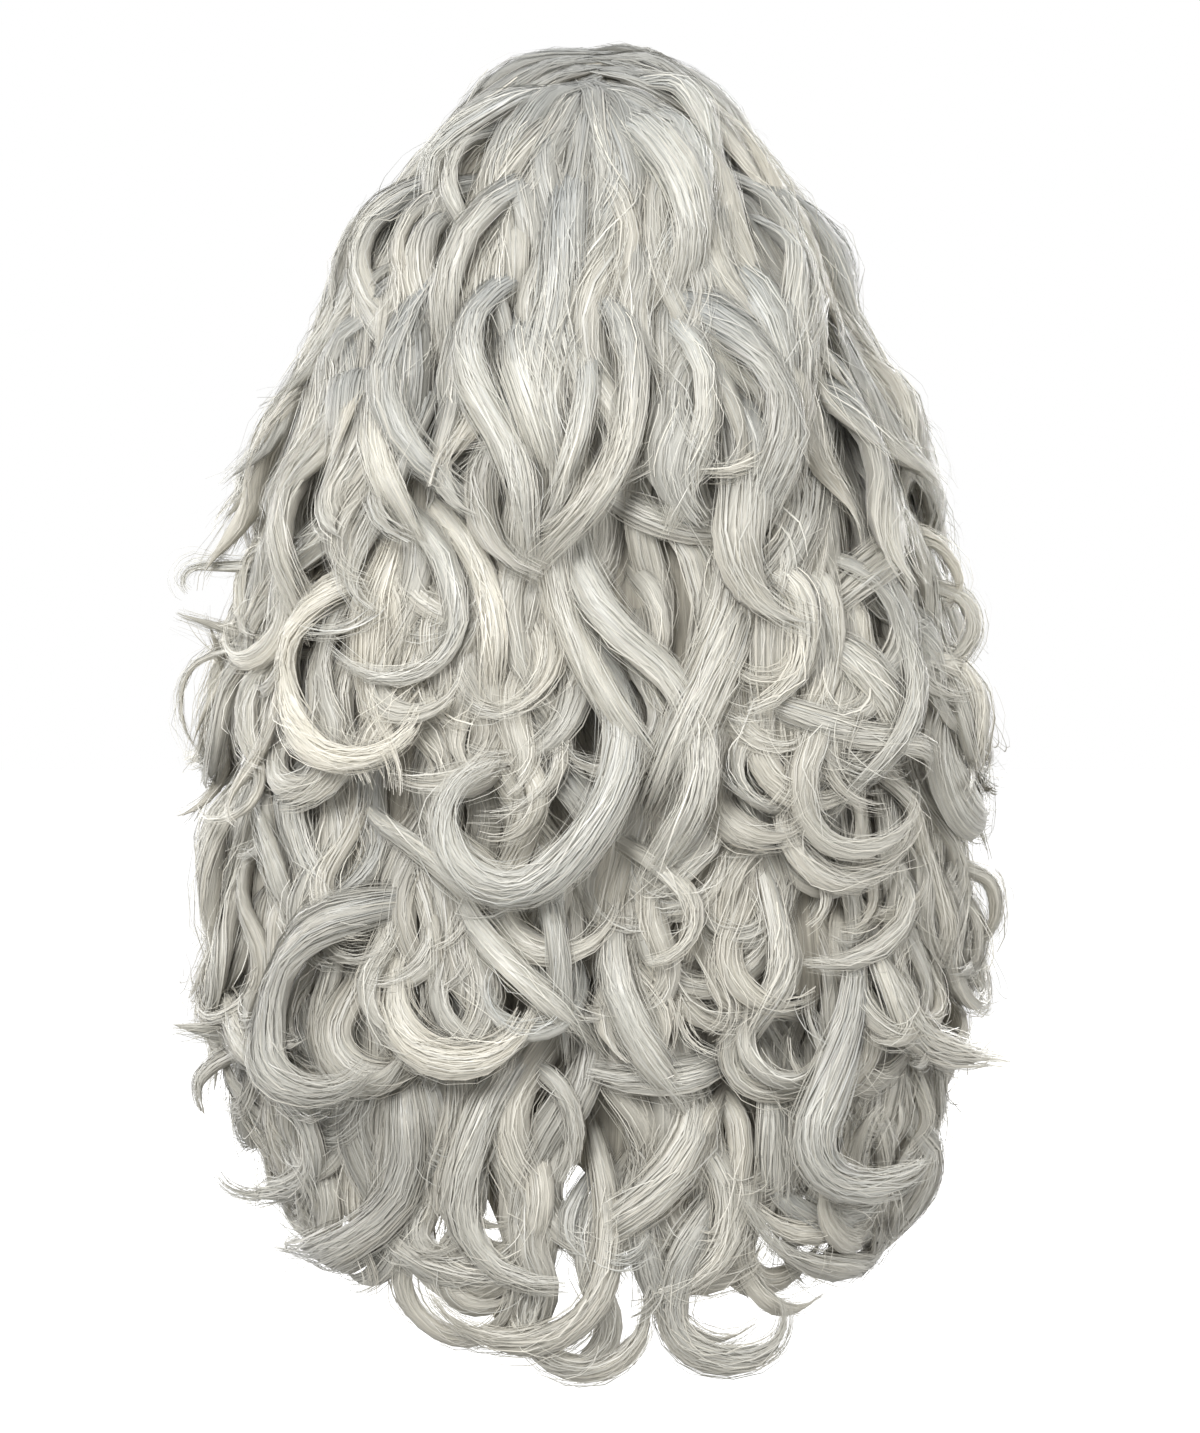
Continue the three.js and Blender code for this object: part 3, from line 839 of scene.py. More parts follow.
@dataclass
class StrandMesh:
    """Collects grids of points, such as ribbons and tubes, and makes one mesh object of them.

    The grids are also laid out as cells for baking, cell_aspect times as many across as up.
    """

    name: str
    cell_aspect: float = 12.0
    body: BodyShape = BodyShape()
    lay_gap: float = 97.0
    lay_range: float = 5000.0
    points: list[np.ndarray] = field(default_factory=list)
    faces: list[np.ndarray] = field(default_factory=list)
    tones: list[np.ndarray] = field(default_factory=list)
    lays: list[np.ndarray] = field(default_factory=list)
    cells: list[np.ndarray] = field(default_factory=list)
    point_count: int = 0
    grid_count: int = 0

    def add(self, grid: np.ndarray, tone: np.ndarray, lay: np.ndarray) -> None:
        """Adds grids of points as quads.

        Args:
            grid: Points in mm, (n, rows, columns, 3).
            tone: Tone, warmth and depth of each point, (n, rows, columns, 3).
            lay: Length across and along each fibre at each point in mm, (n, rows, columns, 2).
        """
        n, rows, columns = grid.shape[:3]
        index = self.point_count + np.arange(n * rows * columns).reshape(n, rows, columns)
        quads = np.stack(
            [index[:, :-1, :-1], index[:, :-1, 1:], index[:, 1:, 1:], index[:, 1:, :-1]], -1
        )
        cell = np.empty((n, rows, columns, 3))
        cell[..., 0] = (self.grid_count + np.arange(n))[:, None, None]
        cell[..., 1] = np.linspace(0.12, 0.88, columns)
        cell[..., 2] = np.linspace(0.04, 0.96, rows)[:, None]
        self.points.append(grid.reshape(-1, 3) * MM)
        self.faces.append(quads.reshape(-1, 4))
        self.tones.append(tone.reshape(-1, 3))
        self.lays.append(lay.reshape(-1, 2))
        self.cells.append(cell.reshape(-1, 3))
        self.point_count += n * rows * columns
        self.grid_count += n

    def triangles(self) -> int:
        """Triangles of the mesh so far."""
        return 2 * sum(len(face) for face in self.faces)

    def add_body(self, spine: Spine, look: FibreLook, rng: np.random.Generator) -> None:
        """Adds the body of a lock, a flat oval tube with shallow ridges and drawn-in ends.

        Args:
            spine: Middle line of the lock.
            look: How the lock is filled.
            rng: Source of its ridges.
        """
        shape = self.body
        angle = np.linspace(0, 2 * np.pi, shape.sides + 1)
        phase = rng.uniform(0, 2 * np.pi, len(shape.ridges))
        turn = spine.run[:, None] / shape.ridge_run
        ridge = 1.0
        for begin, (count, height, slant) in zip(phase, shape.ridges):
            ridge = ridge + height * np.sin(count * angle + begin + slant * turn)
        ends = smooth(spine.share, *shape.start) * (1 - smooth(spine.share, *shape.end))
        ends = (ends - ends.min())[:, None] * ridge
        wide = (shape.width_share * spine.half[:, None] * ends * np.cos(angle))[..., None]
        thick = (shape.thickness_share * spine.thick[:, None] * ends * np.sin(angle))[..., None]
        ring = spine.points[:, None] + spine.side[:, None] * wide + spine.up[:, None] * thick
        cool = look.cool(spine.share)[:, None]
        swings = spine.run / rng.uniform(*shape.drift_run) + rng.random()
        drift = shape.drift * np.sin(2 * np.pi * swings)[:, None]
        low = smooth(-np.sin(angle), -0.6, 0.6)
        tone = np.empty(ring.shape)
        # Painted shade: the core is darker than its fibres, more so on its underside and where the lock
        # is sunk.
        tone[..., 0] = look.tone - shape.core_shade_tone - look.root_grey * cool
        tone[..., 1] = look.warmth - cool + drift
        tone[..., 2] = look.depth + shape.beneath_shade + shape.underside_shade * low
        tone[..., 2] += look.sunk_shade * spine.sunk[:, None]
        lay = np.empty((*ring.shape[:2], 2))
        lay[..., 0] = self.grid_count * self.lay_gap + angle * spine.half.max()
        lay[..., 1] = spine.run[:, None]
        self.add(ring[None], tone[None], lay[None])

    def add_fibres(self, spine: Spine, look: FibreLook, rng: np.random.Generator) -> None:
        """Adds the fibres of a lock as fine ribbons.

        Args:
            spine: Middle line of the lock.
            look: How the lock is filled.
            rng: Source of their places, lengths and tones.
        """
        fibres = look.laid(spine, rng)
        grid = look.ribbons(fibres, spine, rng)
        tone = look.tones(fibres, spine, rng)
        lay = np.empty((*grid.shape[:3], 2))
        lay[..., 0] = rng.uniform(0, self.lay_range, look.fibres)[:, None, None] + np.array([0.0, 0.5])
        lay[..., 1] = (spine.run[0] + fibres.share * (spine.run[-1] - spine.run[0]))[..., None]
        self.add(grid, tone, lay)

    def build(self, material: bpy.types.Material) -> bpy.types.Object:
        """Makes the mesh object.

        Args:
            material: Its finish.

        Returns:
            The new object, linked to the scene.
        """
        points = np.concatenate(self.points).astype(np.float32)
        faces = np.concatenate(self.faces).astype(np.int32)
        corner = faces.ravel()
        mesh = bpy.data.meshes.new(self.name)
        mesh.vertices.add(len(points))
        mesh.vertices.foreach_set("co", points.ravel())
        mesh.loops.add(faces.size)
        mesh.loops.foreach_set("vertex_index", corner)
        mesh.polygons.add(len(faces))
        mesh.polygons.foreach_set("loop_start", np.arange(0, faces.size, 4, dtype=np.int32))
        mesh.polygons.foreach_set("use_smooth", np.ones(len(faces), bool))
        lay = np.concatenate(self.lays).astype(np.float32)[corner]
        mesh.uv_layers.new(name="lay").data.foreach_set("uv", lay.ravel())
        cell = np.concatenate(self.cells)
        columns = math.ceil(math.sqrt(self.grid_count * self.cell_aspect))
        columns = min(columns, self.grid_count)
        rows = math.ceil(self.grid_count / columns)
        place = np.stack(
            [
                (cell[:, 0] % columns + cell[:, 1]) / columns,
                (cell[:, 0] // columns + cell[:, 2]) / rows,
            ],
            1,
        ).astype(np.float32)[corner]
        mesh.uv_layers.new(name="OFBake").data.foreach_set("uv", place.ravel())
        tone = np.ones((len(points), 4), np.float32)
        tone[:, :3] = np.clip(np.concatenate(self.tones), 0, 1)
        mesh.attributes.new("fibre", "FLOAT_COLOR", "POINT").data.foreach_set("color", tone.ravel())
        mesh.materials.append(material)
        mesh.update(calc_edges=True)
        made = bpy.data.objects.new(self.name, mesh)
        bpy.context.scene.collection.objects.link(made)
        return made


# A lock's place across, its height, heading, arcs, width and lift, in mm and degrees.
LockRow = tuple[float, float, float, Arcs, float, float]

# Locks of the back, seen from behind, tier by tier.
BACK_LOCKS: dict[Tier, list[LockRow]] = {
    Tier.CROWN: [
        (4, -2, 60, [(-68, 86)], 30, 6),
        (14, 7, 65, [(-100, 60)], 22, 4),
        (24, 17, 70, [(-78, 57)], 20, 1),
        (68, -25, 52, [(-80, 86)], 30, 2),
        (76, -47, 45, [(-45, 60), (20, 150)], 22, 5),
        (54, -62, 45, [(-55, 133)], 30, 1),
        (24, -97, 80, [(-95, 81)], 30, 5),
        (-7, -86, 45, [(-95, 93)], 20, 6),
        (24, -95, 50, [(-75, 86)], 18, 3),
        (-10, -15, 0, [(-12, 500), (30, 110)], 28, 1),
        (-17, -76, -70, [(105, 62), (-30, 80)], 22, 6),
        (-22, -30, -50, [(40, 145)], 24, 5),
        (-46, -5, -60, [(75, 43)], 16, 3),
        (-61, -67, -40, [(30, 160), (65, 52)], 22, 5),
        (-76, -25, -55, [(80, 75)], 26, 4),
        (-8, 12, -72, [(20, 210), (35, 30)], 20, 1),
        (-81, -72, -45, [(45, 245)], 34, 1),
        (-86, -105, -35, [(60, 100)], 20, 4),
        (-31, -95, -10, [(35, 140)], 34, 1),
        (-3, -105, 8, [(-30, 180)], 16, 2),
    ],
    Tier.UPPER: [
        (-56, -179, -85, [(48, 95), (-12, 130)], 24, 5),
        (-101, -205, 62, [(-60, 70), (-155, 31)], 16, 6),
        (-76, -212, 50, [(-60, 80)], 20, 3),
        (-7, -187, -25, [(50, 109), (15, 230)], 20, 5),
        (-10, -205, -5, [(60, 91), (-95, 59)], 24, 5),
        (4, -285, 30, [(-88, 81), (-207, 31)], 26, 6),
        (71, -228, -2, [(-30, 220)], 34, 3),
        (88, -241, 50, [(-125, 42)], 18, 6),
        (16, -207, 50, [(65, 65)], 20, 2),
        (54, -187, 80, [(-105, 48)], 18, 4),
        (96, -130, 30, [(-70, 100)], 34, 1),
        (134, -165, 45, [(-95, 56)], 30, 2),
        (121, -120, 65, [(-60, 75)], 26, 1),
        (119, -232, 60, [(-100, 71)], 16, 5),
        (-146, -175, -20, [(40, 90)], 12, 4),
        (-96, -235, -75, [(80, 69), (165, 33)], 22, 5),
        (-153, -228, -90, [(170, 24)], 12, 4),
        (-166, -236, -92, [(6, 300), (150, 8)], 12, 1),
        (-165, -277, -115, [(10, 250)], 14, 1),
        (-186, -282, -70, [(130, 30)], 6, 2),
        (167, -220, 80, [(-150, 20)], 16, 2),
        (178, -250, 60, [(-150, 21)], 16, 2),
        (171, -285, 65, [(-115, 41)], 24, 2),
        (119, -275, 45, [(-20, 150)], 26, 1),
        (86, -307, 62, [(20, 180)], 20, 4),
    ],
    Tier.LOWER: [
        (-46, -300, -70, [(85, 50)], 24, 2),
        (-53, -315, 15, [(25, 130)], 22, 2),
        (-46, -280, 25, [(8, 700)], 26, 3),
        (-83, -350, 15, [(45, 60)], 22, 3),
        (-103, -367, 60, [(-20, 140)], 14, 4),
        (63, -337, 10, [(-75, 59)], 18, 4),
        (16, -377, 55, [(-10, 200), (-140, 22)], 14, 6),
        (144, -340, 35, [(-32, 170)], 20, 3),
        (174, -345, 30, [(-50, 60)], 22, 1),
        (133, -326, -75, [(55, 56), (210, 28)], 20, 6),
        (86, -387, 5, [(10, 180), (-45, 50)], 18, 4),
        (156, -395, 0, [(-105, 45)], 16, 4),
        (194, -396, 70, [(-160, 18)], 18, 1),
        (177, -405, 85, [(-190, 21)], 16, 3),
        (-63, -408, 30, [(25, 165)], 18, 5),
        (-23, -400, 15, [(-12, 280)], 14, 5),
        (-146, -338, -10, [(42, 95)], 28, 2),
        (-173, -343, 20, [(10, 150), (-30, 75)], 18, 3),
        (-165, -343, -50, [(60, 88)], 30, 1),
        (-95, -405, -80, [(75, 76), (165, 27)], 30, 5),
        (-98, -447, 0, [(10, 60), (160, 34)], 26, 3),
        (10, -422, 0, [(40, 110)], 24, 3),
        (131, -432, -5, [(-22, 215), (205, 26)], 28, 4),
        (140, -432, 5, [(84, 64)], 24, 3),
        (-193, -432, -5, [(65, 55)], 22, 1),
    ],
    Tier.NAPE: [
        (51, -492, -70, [(-45, 70)], 24, 6),
        (95, -462, -110, [(320, 21)], 14, 5),
        (-176, -477, -95, [(-5, 400)], 22, 1),
        (-161, -480, -65, [(10, 220)], 18, 3),
        (-190, -504, 42, [(15, 150)], 18, 0),
        (-150, -503, 75, [(-235, 26)], 18, 6),
        (-93, -497, 15, [(-25, 110), (-100, 46)], 28, 5),
        (-123, -550, 30, [(60, 92)], 20, 2),
        (-31, -480, -45, [(40, 110), (105, 45)], 24, 6),
        (4, -535, 15, [(-25, 130), (-155, 42)], 20, 5),
        (-26, -490, 60, [(-100, 37)], 14, 4),
        (51, -500, -2, [(-60, 78)], 28, 5),
        (54, -525, 45, [(-125, 46)], 22, 3),
        (61, -555, -45, [(45, 78), (200, 25)], 22, 4),
        (156, -516, 35, [(-205, 47)], 22, 4),
        (137, -553, -28, [(-120, 36)], 16, 3),
        (89, -545, 15, [(130, 28)], 16, 3),
        (89, -505, -5, [(20, 150)], 22, 2),
        (-8, -555, -35, [(200, 20)], 14, 3),
        (24, -540, -10, [(40, 100)], 22, 1),
    ],
}

# Locks of the right side: across is towards the front, mirrored to the left side.
SIDE_LOCKS: dict[Tier, list[LockRow]] = {
    Tier.CROWN: [
        (-40, -30, 4, wave(1, 36, 150, 1, 40, 60), 32, 2),
        (26, -28, -4, wave(-1, 34, 150, 1, 40, 70), 32, 3),
    ],
    Tier.UPPER: [
        (-52, -140, 0, wave(-1, 66, 62, 2, 23, 210), 28, 2),
        (-4, -135, -4, wave(1, 66, 60, 2, 24, 220), 28, 3),
    ],
    Tier.LOWER: [
        (-52, -262, 0, wave(-1, 70, 58, 2, 23, 220), 28, 2),
        (6, -255, -4, wave(1, 68, 60, 2, 24, 210), 28, 3),
    ],
    Tier.NAPE: [
        (-44, -400, 4, wave(1, 70, 54, 1, 25, 220), 28, 3),
        (-4, -390, -4, wave(-1, 68, 54, 1, 24, 220), 26, 3),
    ],
}

# Locks of the front: they part in the middle and frame the opening, mirrored to the other side.
FRONT_LOCKS: dict[Tier, list[LockRow]] = {
    Tier.CROWN: [
        (1, 20, 66, [(-44, 104), (-28, 110), (50, 70), (-60, 60)], 26, 0),
        (2, 6, 74, [(-50, 108), (-28, 110), (52, 68), (-62, 60)], 28, 1),
        (0, -8, 76, [(-56, 96), (-24, 120), (56, 66), (-70, 60), (-130, 24)], 26, 2),
        (-1, -24, 82, [(-70, 80), (-20, 130), (60, 64), (-66, 60), (160, 23)], 24, 2),
        (-2, -38, 86, [(-78, 74), (-18, 130), (58, 62), (-64, 58)], 20, 2),
    ],
    Tier.FRONT_RIGHT: [
        (86, -104, 2, wave(1, 62, 62, 2, 22, 210), 24, 2),
        (72, -116, -2, wave(-1, 64, 60, 2, 22, 200), 22, 3),
    ],
}


@dataclass(frozen=True)
class UnderRow:
    """A row of under locks round the cap: start height, its spread and its rise at the sides, span
    from mid back, and count.

    Spans, sway and sweep are in degrees, heights, radius, curl, width and lift in mm. Lean is how much
    further the locks stand out at the left than elsewhere.
    """

    z: float
    spread: float
    side_rise: float
    first: float
    last: float
    count: int
    sway: float
    radius: float
    swings: int
    curl: float
    sweep: float
    width: float
    lift: float
    lean: float = 0.0

    def mirrored(self) -> "UnderRow":
        """The same row on the other side of the middle."""
        return replace(self, first=-self.last, last=-self.first)


UNDER_ROWS: dict[Tier, list[UnderRow]] = {
    Tier.CROWN: [
        UnderRow(-30, 18, 0, -128, 128, 34, 48, 78, 1, 44, 80, 20, -2, 6),
        UnderRow(-60, 24, 0, -126, 126, 26, 50, 72, 1, 42, 90, 20, -3, 6),
        UnderRow(-92, 34, 0, -114, 114, 34, 54, 66, 1, 38, 110, 19, -4, 7),
    ],
    Tier.UPPER: [
        UnderRow(-125, 36, 0, -105, 105, 38, 56, 64, 2, 32, 150, 22, -5, 5),
        UnderRow(-200, 36, 0, -102, 102, 34, 60, 58, 1, 27, 210, 16, 0, 3),
        UnderRow(-250, 20, 10, -96, 96, 20, 56, 50, 1, 27, 190, 18, -5),
    ],
    Tier.LOWER: [
        UnderRow(-255, 36, 0, -102, 102, 36, 62, 58, 2, 27, 200, 22, -5),
        UnderRow(-335, 36, 10, -98, 98, 34, 64, 52, 1, 25, 250, 16, 0),
        UnderRow(-385, 20, 25, -92, 92, 20, 58, 46, 1, 26, 230, 18, -5),
    ],
    Tier.NAPE: [
        UnderRow(-400, 36, 20, -98, 98, 36, 64, 52, 2, 25, 230, 22, -2),
        UnderRow(-475, 26, 40, -94, 94, 34, 60, 48, 1, 26, 250, 18, -1),
        UnderRow(-522, 12, 48, -88, 88, 24, 60, 42, 1, 25, 250, 17, 2),
    ],
    Tier.FRONT_RIGHT: [
        UnderRow(-80, 16, 0, 110, 142, 7, 60, 60, 2, 23, 200, 18, -3),
        UnderRow(-130, 16, 0, 110, 134, 6, 60, 56, 1, 24, 220, 16, -1),
    ],
}
UNDER_ROWS[Tier.FRONT_LEFT] = [row.mirrored() for row in UNDER_ROWS[Tier.FRONT_RIGHT]]


@dataclass(frozen=True)
class Backing:
    """Backing of a tier: gap to the cap, root line, foot and spans, as the tier's solid has them.

    Wall is its thickness and inset how far it lies in from the tier's surface. It leaves the cap over
    the root_run, and its foot stays foot_rise above the solid's. Lengths are in mm, spans in degrees.
    """

    gap: float
    root: float
    root_back: float
    foot: float
    foot_lift: float
    root_span: tuple[float, float]
    foot_span: tuple[float, float]
    wall: float = 4.0
    root_run: float = 45.0
    inset: float = 7.0
    foot_rise: float = 26.0

    def mirrored(self) -> "Backing":
        """The same backing on the other side of the middle."""
        root, foot = ((-last, -first) for first, last in (self.root_span, self.foot_span))
        return replace(self, root_span=root, foot_span=foot)


BACKINGS: dict[Tier, Backing] = {
    Tier.UPPER: Backing(0.45, 45, 30, -330, 30, (-104, 104), (-104, 104)),
    Tier.LOWER: Backing(0.45, 25, 15, -470, 40, (-94, 94), (-100, 100)),
    Tier.NAPE: Backing(-0.3, 10, 0, -598, 15, (-72, 72), (-94, 94), inset=13.0, foot_rise=46.0),
    Tier.FRONT_RIGHT: Backing(0.45, 14, 0, -240, 0, (108, 146), (110, 134)),
}
BACKINGS[Tier.FRONT_LEFT] = BACKINGS[Tier.FRONT_RIGHT].mirrored()


@dataclass(frozen=True)
class TierLook:
    """How a tier's locks are filled and coloured: fibres of outer and under locks, and tones.

    Depth is painted shade, more for the lower tiers. Ground is the tone of the backing, painted dark
    as shaded hair beneath the locks, with a warmth, a painted shade and the length in mm between the
    columns of its streaks. Gather and clumps say how stringy the locks are.
    """

    outer: int
    under: int
    tone: float
    warmth: float
    depth: float
    root_cool: float
    ground: float = 0.35
    gather: float = 0.5
    clumps: int = 6
    ground_warmth: float = 0.75
    ground_shade: float = 0.7
    ground_step: float = 6.0


# Lower tiers get more painted shade, and each backing a dark painted ground.
TIER_LOOKS: dict[Tier, TierLook] = {
    Tier.CROWN: TierLook(110, 36, 0.47, 0.64, 0.0, 0.8, 0.4, 0.22, 9),
    Tier.UPPER: TierLook(105, 34, 0.52, 0.72, 0.02, 0.15, 0.42, 0.4, 7),
    Tier.LOWER: TierLook(105, 34, 0.46, 0.7, 0.05, 0.1),
    Tier.NAPE: TierLook(105, 34, 0.42, 0.66, 0.08, 0.1),
    Tier.FRONT_RIGHT: TierLook(80, 34, 0.5, 0.6, 0.05, 0.15),
}
TIER_LOOKS[Tier.FRONT_LEFT] = TIER_LOOKS[Tier.FRONT_RIGHT]


@dataclass
class HairTier:
    """One tier of hair: backing, under locks, outer locks and flyaway fibres.

    A walked lock that would reach below the foot starts as much higher, and the foot itself rises by
    foot_rise at foot_half_width. Leads are the hidden starts of outer locks, and wisps the flyaway
    fibres of an under lock and of an outer one. Under locks get extra painted shade, as they lie
    beneath the outer ones. Lengths are in mm, angles in degrees.
    """

    tier: Tier
    form: HairForm
    cap: CapForm
    seed: int
    lift_scale: float = 1.7
    lift_base: float = 1.5
    width_scale: float = 0.84
    body_spacing: tuple[float, float] = (19.0, 16.0)
    fibre_spacing: tuple[float, float] = (22.0, 22.0)
    foot: float = -640.0
    foot_rise: float = 90.0
    foot_half_width: float = 160.0
    lead: float = 50.0
    crown_lead: float = 22.0
    side_lead: float = 55.0
    parting_rows: int = 22
    fan_rows: int = 23
    fan_angle: float = 84.0
    lining_count: int = 22
    lining_angle: float = 84.0
    lining_back: float = 48.0
    stops: int = 110
    wisps: tuple[int, int] = (11, 26)
    under_shade: float = 0.16
    full_half: float = 13.0
    quick_share: float = 0.4

    def outer_locks(self) -> list[Lock]:
        """Locks that the tier's solid has too.

        Returns:
            The locks of the back, the sides and the front.
        """
        lead = self.crown_lead if self.tier is Tier.CROWN else self.lead
        locks = [self.lock(row, Chart.BACK, lead) for row in BACK_LOCKS.get(self.tier, [])]
        for row in SIDE_LOCKS.get(self.tier, []):
            right = self.lock(row, Chart.RIGHT, self.side_lead)
            locks += [right, right.mirrored()]
        if self.tier in (Tier.CROWN, Tier.FRONT_RIGHT):
            locks += [self.lock(row, Chart.FRONT, lead) for row in FRONT_LOCKS[self.tier]]
        if self.tier in (Tier.CROWN, Tier.FRONT_LEFT):
            rows = FRONT_LOCKS[Tier.CROWN if self.tier is Tier.CROWN else Tier.FRONT_RIGHT]
            locks += [self.lock(row, Chart.FRONT, lead).mirrored() for row in rows]
        return locks

    def lock(self, row: LockRow, chart: Chart, lead: float) -> Lock:
        """Lock from a table row on a chart.

        Args:
            row: The table row.
            chart: Side of the hair that it is drawn on.
            lead: Length of its hidden start in mm.

        Returns:
            The lock.
        """
        *course, width, lift = row
        lift = self.lift_base + self.lift_scale * lift
        made = Lock(*course, self.width_scale * width, lift, chart, lead)
        made.ease = 0.28 if self.tier is Tier.CROWN else 0.2
        if self.tier is Tier.CROWN and chart is Chart.FRONT:
            made.sink, made.ease = 5.0, 0.1
        return made

    def under_locks(self, rng: np.random.Generator) -> list[RootedLock]:
        """Under locks of the tier's rows.

        Args:
            rng: Source of their variety.

        Returns:
            The locks with their roots.
        """
        locks = []
        for row in UNDER_ROWS[self.tier]:
            for index in range(row.count):
                share = (index + rng.uniform(0.25, 0.75)) / row.count
                angle = math.radians(row.first + (row.last - row.first) * share)
                z = row.z + row.side_rise * math.sin(angle) ** 2
                z += rng.uniform(-row.spread, row.spread)
                start = self.form.place(np.array([angle]), np.array([z]), self.tier.steps, 0.0)[0]
                arcs = wave(
                    rng.choice([-1, 1]),
                    row.sway * rng.uniform(0.75, 1.25),
                    row.radius * rng.uniform(0.8, 1.25),
                    row.swings,
                    row.curl * rng.uniform(0.7, 1.2),
                    row.sweep * rng.uniform(0.35, 1.15),
                )
                width = row.width * math.exp(rng.normal(0, 0.25))
                lift = row.lift + rng.uniform(-3, 3) + row.lean * max(-math.sin(angle), 0.0)
                lock = Lock(0, 0, rng.uniform(-12, 12), arcs, width, lift, lead=24, tail=0)
                lock.kick = rng.uniform(2, 9 + 13 * math.sin(angle) ** 2)
                lock.heave = rng.uniform(2, 6)
                lock.period = rng.uniform(80, 125)
                locks.append(RootedLock(lock, start))
        if self.tier is Tier.CROWN:
            locks += self.parting_locks(rng)
        return locks

    def parting_locks(self, rng: np.random.Generator) -> list[RootedLock]:
        """Under locks that fall from the parting to both sides and fan out from the whorl.

        Their roots reach over the parting, so that the two sides overlap there.

        Args:
            rng: Source of their variety.

        Returns:
            The locks with their roots.
        """
        back, front = self.form.parting
        roots = []
        for index in range(self.parting_rows):
            y = back + (front - back) * (index + 0.5) / self.parting_rows
            roots += [(side, 0.0, y + rng.uniform(-3, 3), rng.uniform(1, 7)) for side in (-1, 1)]
        for index in range(self.fan_rows):
            turned = 2 * self.fan_angle * index / (self.fan_rows - 1)
            angle = math.radians(-self.fan_angle + turned)
            roots.append((math.sin(angle), -math.cos(angle), back, rng.uniform(1, 8)))
        locks = []
        for x, y, along, over in roots:
            heading = -x * 10 * float(smooth(along, 20, 90)) + rng.uniform(-8, 8)
            turn = rng.choice([-1, 1])
            arcs = [
                (turn * rng.uniform(10, 20), 120),
                (-turn * rng.uniform(32, 52), 88),
                (turn * rng.uniform(46, 72), 64),
                (-turn * rng.uniform(50, 120), 42),
            ]
            start = np.array([-x * over, along - y * over, self.form.top_height(along)])
            lift = rng.uniform(-4, 1) + 2 * x
            lift += 1.5 if y else -5 * float(smooth(-along, 30, 84))
            lock = Lock(0, 0, heading, arcs, rng.uniform(15, 25), lift, lead=0, sink=1)
            lock.heave = 2.2
            locks.append(RootedLock(lock, start, (-x * (over + 4), -y * (over + 4))))
        return locks

    def lining_locks(self, rng: np.random.Generator) -> list[RootedLock]:
        """Straighter locks that line the inner side of the lowest tier.

        Args:
            rng: Source of their variety.

        Returns:
            The locks with their roots.
        """
        locks = []
        for index in range(self.lining_count):
            turned = 2 * self.lining_angle * (index + rng.uniform(0.3, 0.7)) / self.lining_count
            angle = math.radians(-self.lining_angle + turned)
            place = (np.array([angle]), np.array([rng.uniform(-240, -215)]))
            start = self.form.place(*place, self.tier.steps + 1, 0.0)[0]
            swings = 5 if abs(angle) < math.radians(self.lining_back) else 4
            side = rng.choice([-1, 1])
            arcs = wave(
                side, rng.uniform(26, 42), rng.uniform(75, 100), swings, 36, rng.uniform(50, 130)
            )
            lock = Lock(
                0, 0, rng.uniform(-5, 5), arcs, rng.uniform(20, 30), rng.uniform(-1, 2), lead=24, tail=0
            )
            lock.sink, lock.kick, lock.heave = 8.0, 2.0, 1.5
            locks.append(RootedLock(lock, start))
        return locks

    def under_spines(self, rng: np.random.Generator) -> list[tuple[Spine, Spine]]:
        """Fine and coarse spines of the under locks and of the lining.

        Args:
            rng: Source of their variety.

        Returns:
            A pair of spines for each lock.
        """
        spines = self.walked_spines(self.under_locks(rng), self.tier.steps, 1.0, rng)
        if self.tier is Tier.NAPE:
            spines += self.walked_spines(self.lining_locks(rng), self.tier.steps + 1, -1.0, rng)
        return spines

    def walked_spines(
        self, locks: list[RootedLock], steps: int, facing: float, rng: np.random.Generator
    ) -> list[tuple[Spine, Spine]]:
        """Fine and coarse spines of locks that are walked over a surface together.

        Args:
            locks: The locks with their roots.
            steps: Steps of the surface in from the crown.
            facing: Side of the surface that they lie on, 1 outside or -1 inside.
            rng: Source of their twist.

        Returns:
            A pair of spines for each lock.
        """
        headings, strides = [], []
        for rooted in locks:
            fine = rooted.lock.headings(STRIDE)
            at = np.linspace(0, len(fine) - 1, self.stops)
            headings.append(np.interp(at, np.arange(len(fine)), fine))
            strides.append(STRIDE * len(fine) / self.stops)
        starts = np.array([rooted.start for rooted in locks])
        roots = np.array([rooted.off_parting for rooted in locks])
        course = (roots, np.array(headings), np.array(strides), steps)
        points, normals = self.form.walk(starts, *course)
        raised = self.below_foot(points)
        if raised.any():
            starts[:, 2] += raised
            points, normals = self.form.walk(starts, *course)
        return [
            self.both_spines(rooted.lock, points[index], facing * normals[index], rng)
            for index, rooted in enumerate(locks)
        ]

    def below_foot(self, points: np.ndarray) -> np.ndarray:
        """How far locks reach below the hair's foot, which rises to both sides.

        Args:
            points: Points of each lock in mm, (locks, stops, 3).

        Returns:
            Depth of each lock's lowest point below the foot in mm, 0 if it ends above it.
        """
        lowest = points[np.arange(len(points)), points[..., 2].argmin(1)]
        rise = self.foot_rise * np.minimum((lowest[:, 0] / self.foot_half_width) ** 2, 1.0)
        return np.maximum(self.foot + rise - lowest[:, 2], 0.0)

    def outer_spines(self, rng: np.random.Generator) -> list[tuple[Spine, Spine]]:
        """Fine and coarse spines of the outer locks.

        Args:
            rng: Source of their twist.

        Returns:
            A pair of spines for each lock.
        """
        spines = []
        for lock in self.outer_locks():
            points = lock.course(self.form, self.tier.steps)
            normals = self.form.normals(points, self.tier.steps)
            spines.append(self.both_spines(lock, points, normals, rng))
        return spines

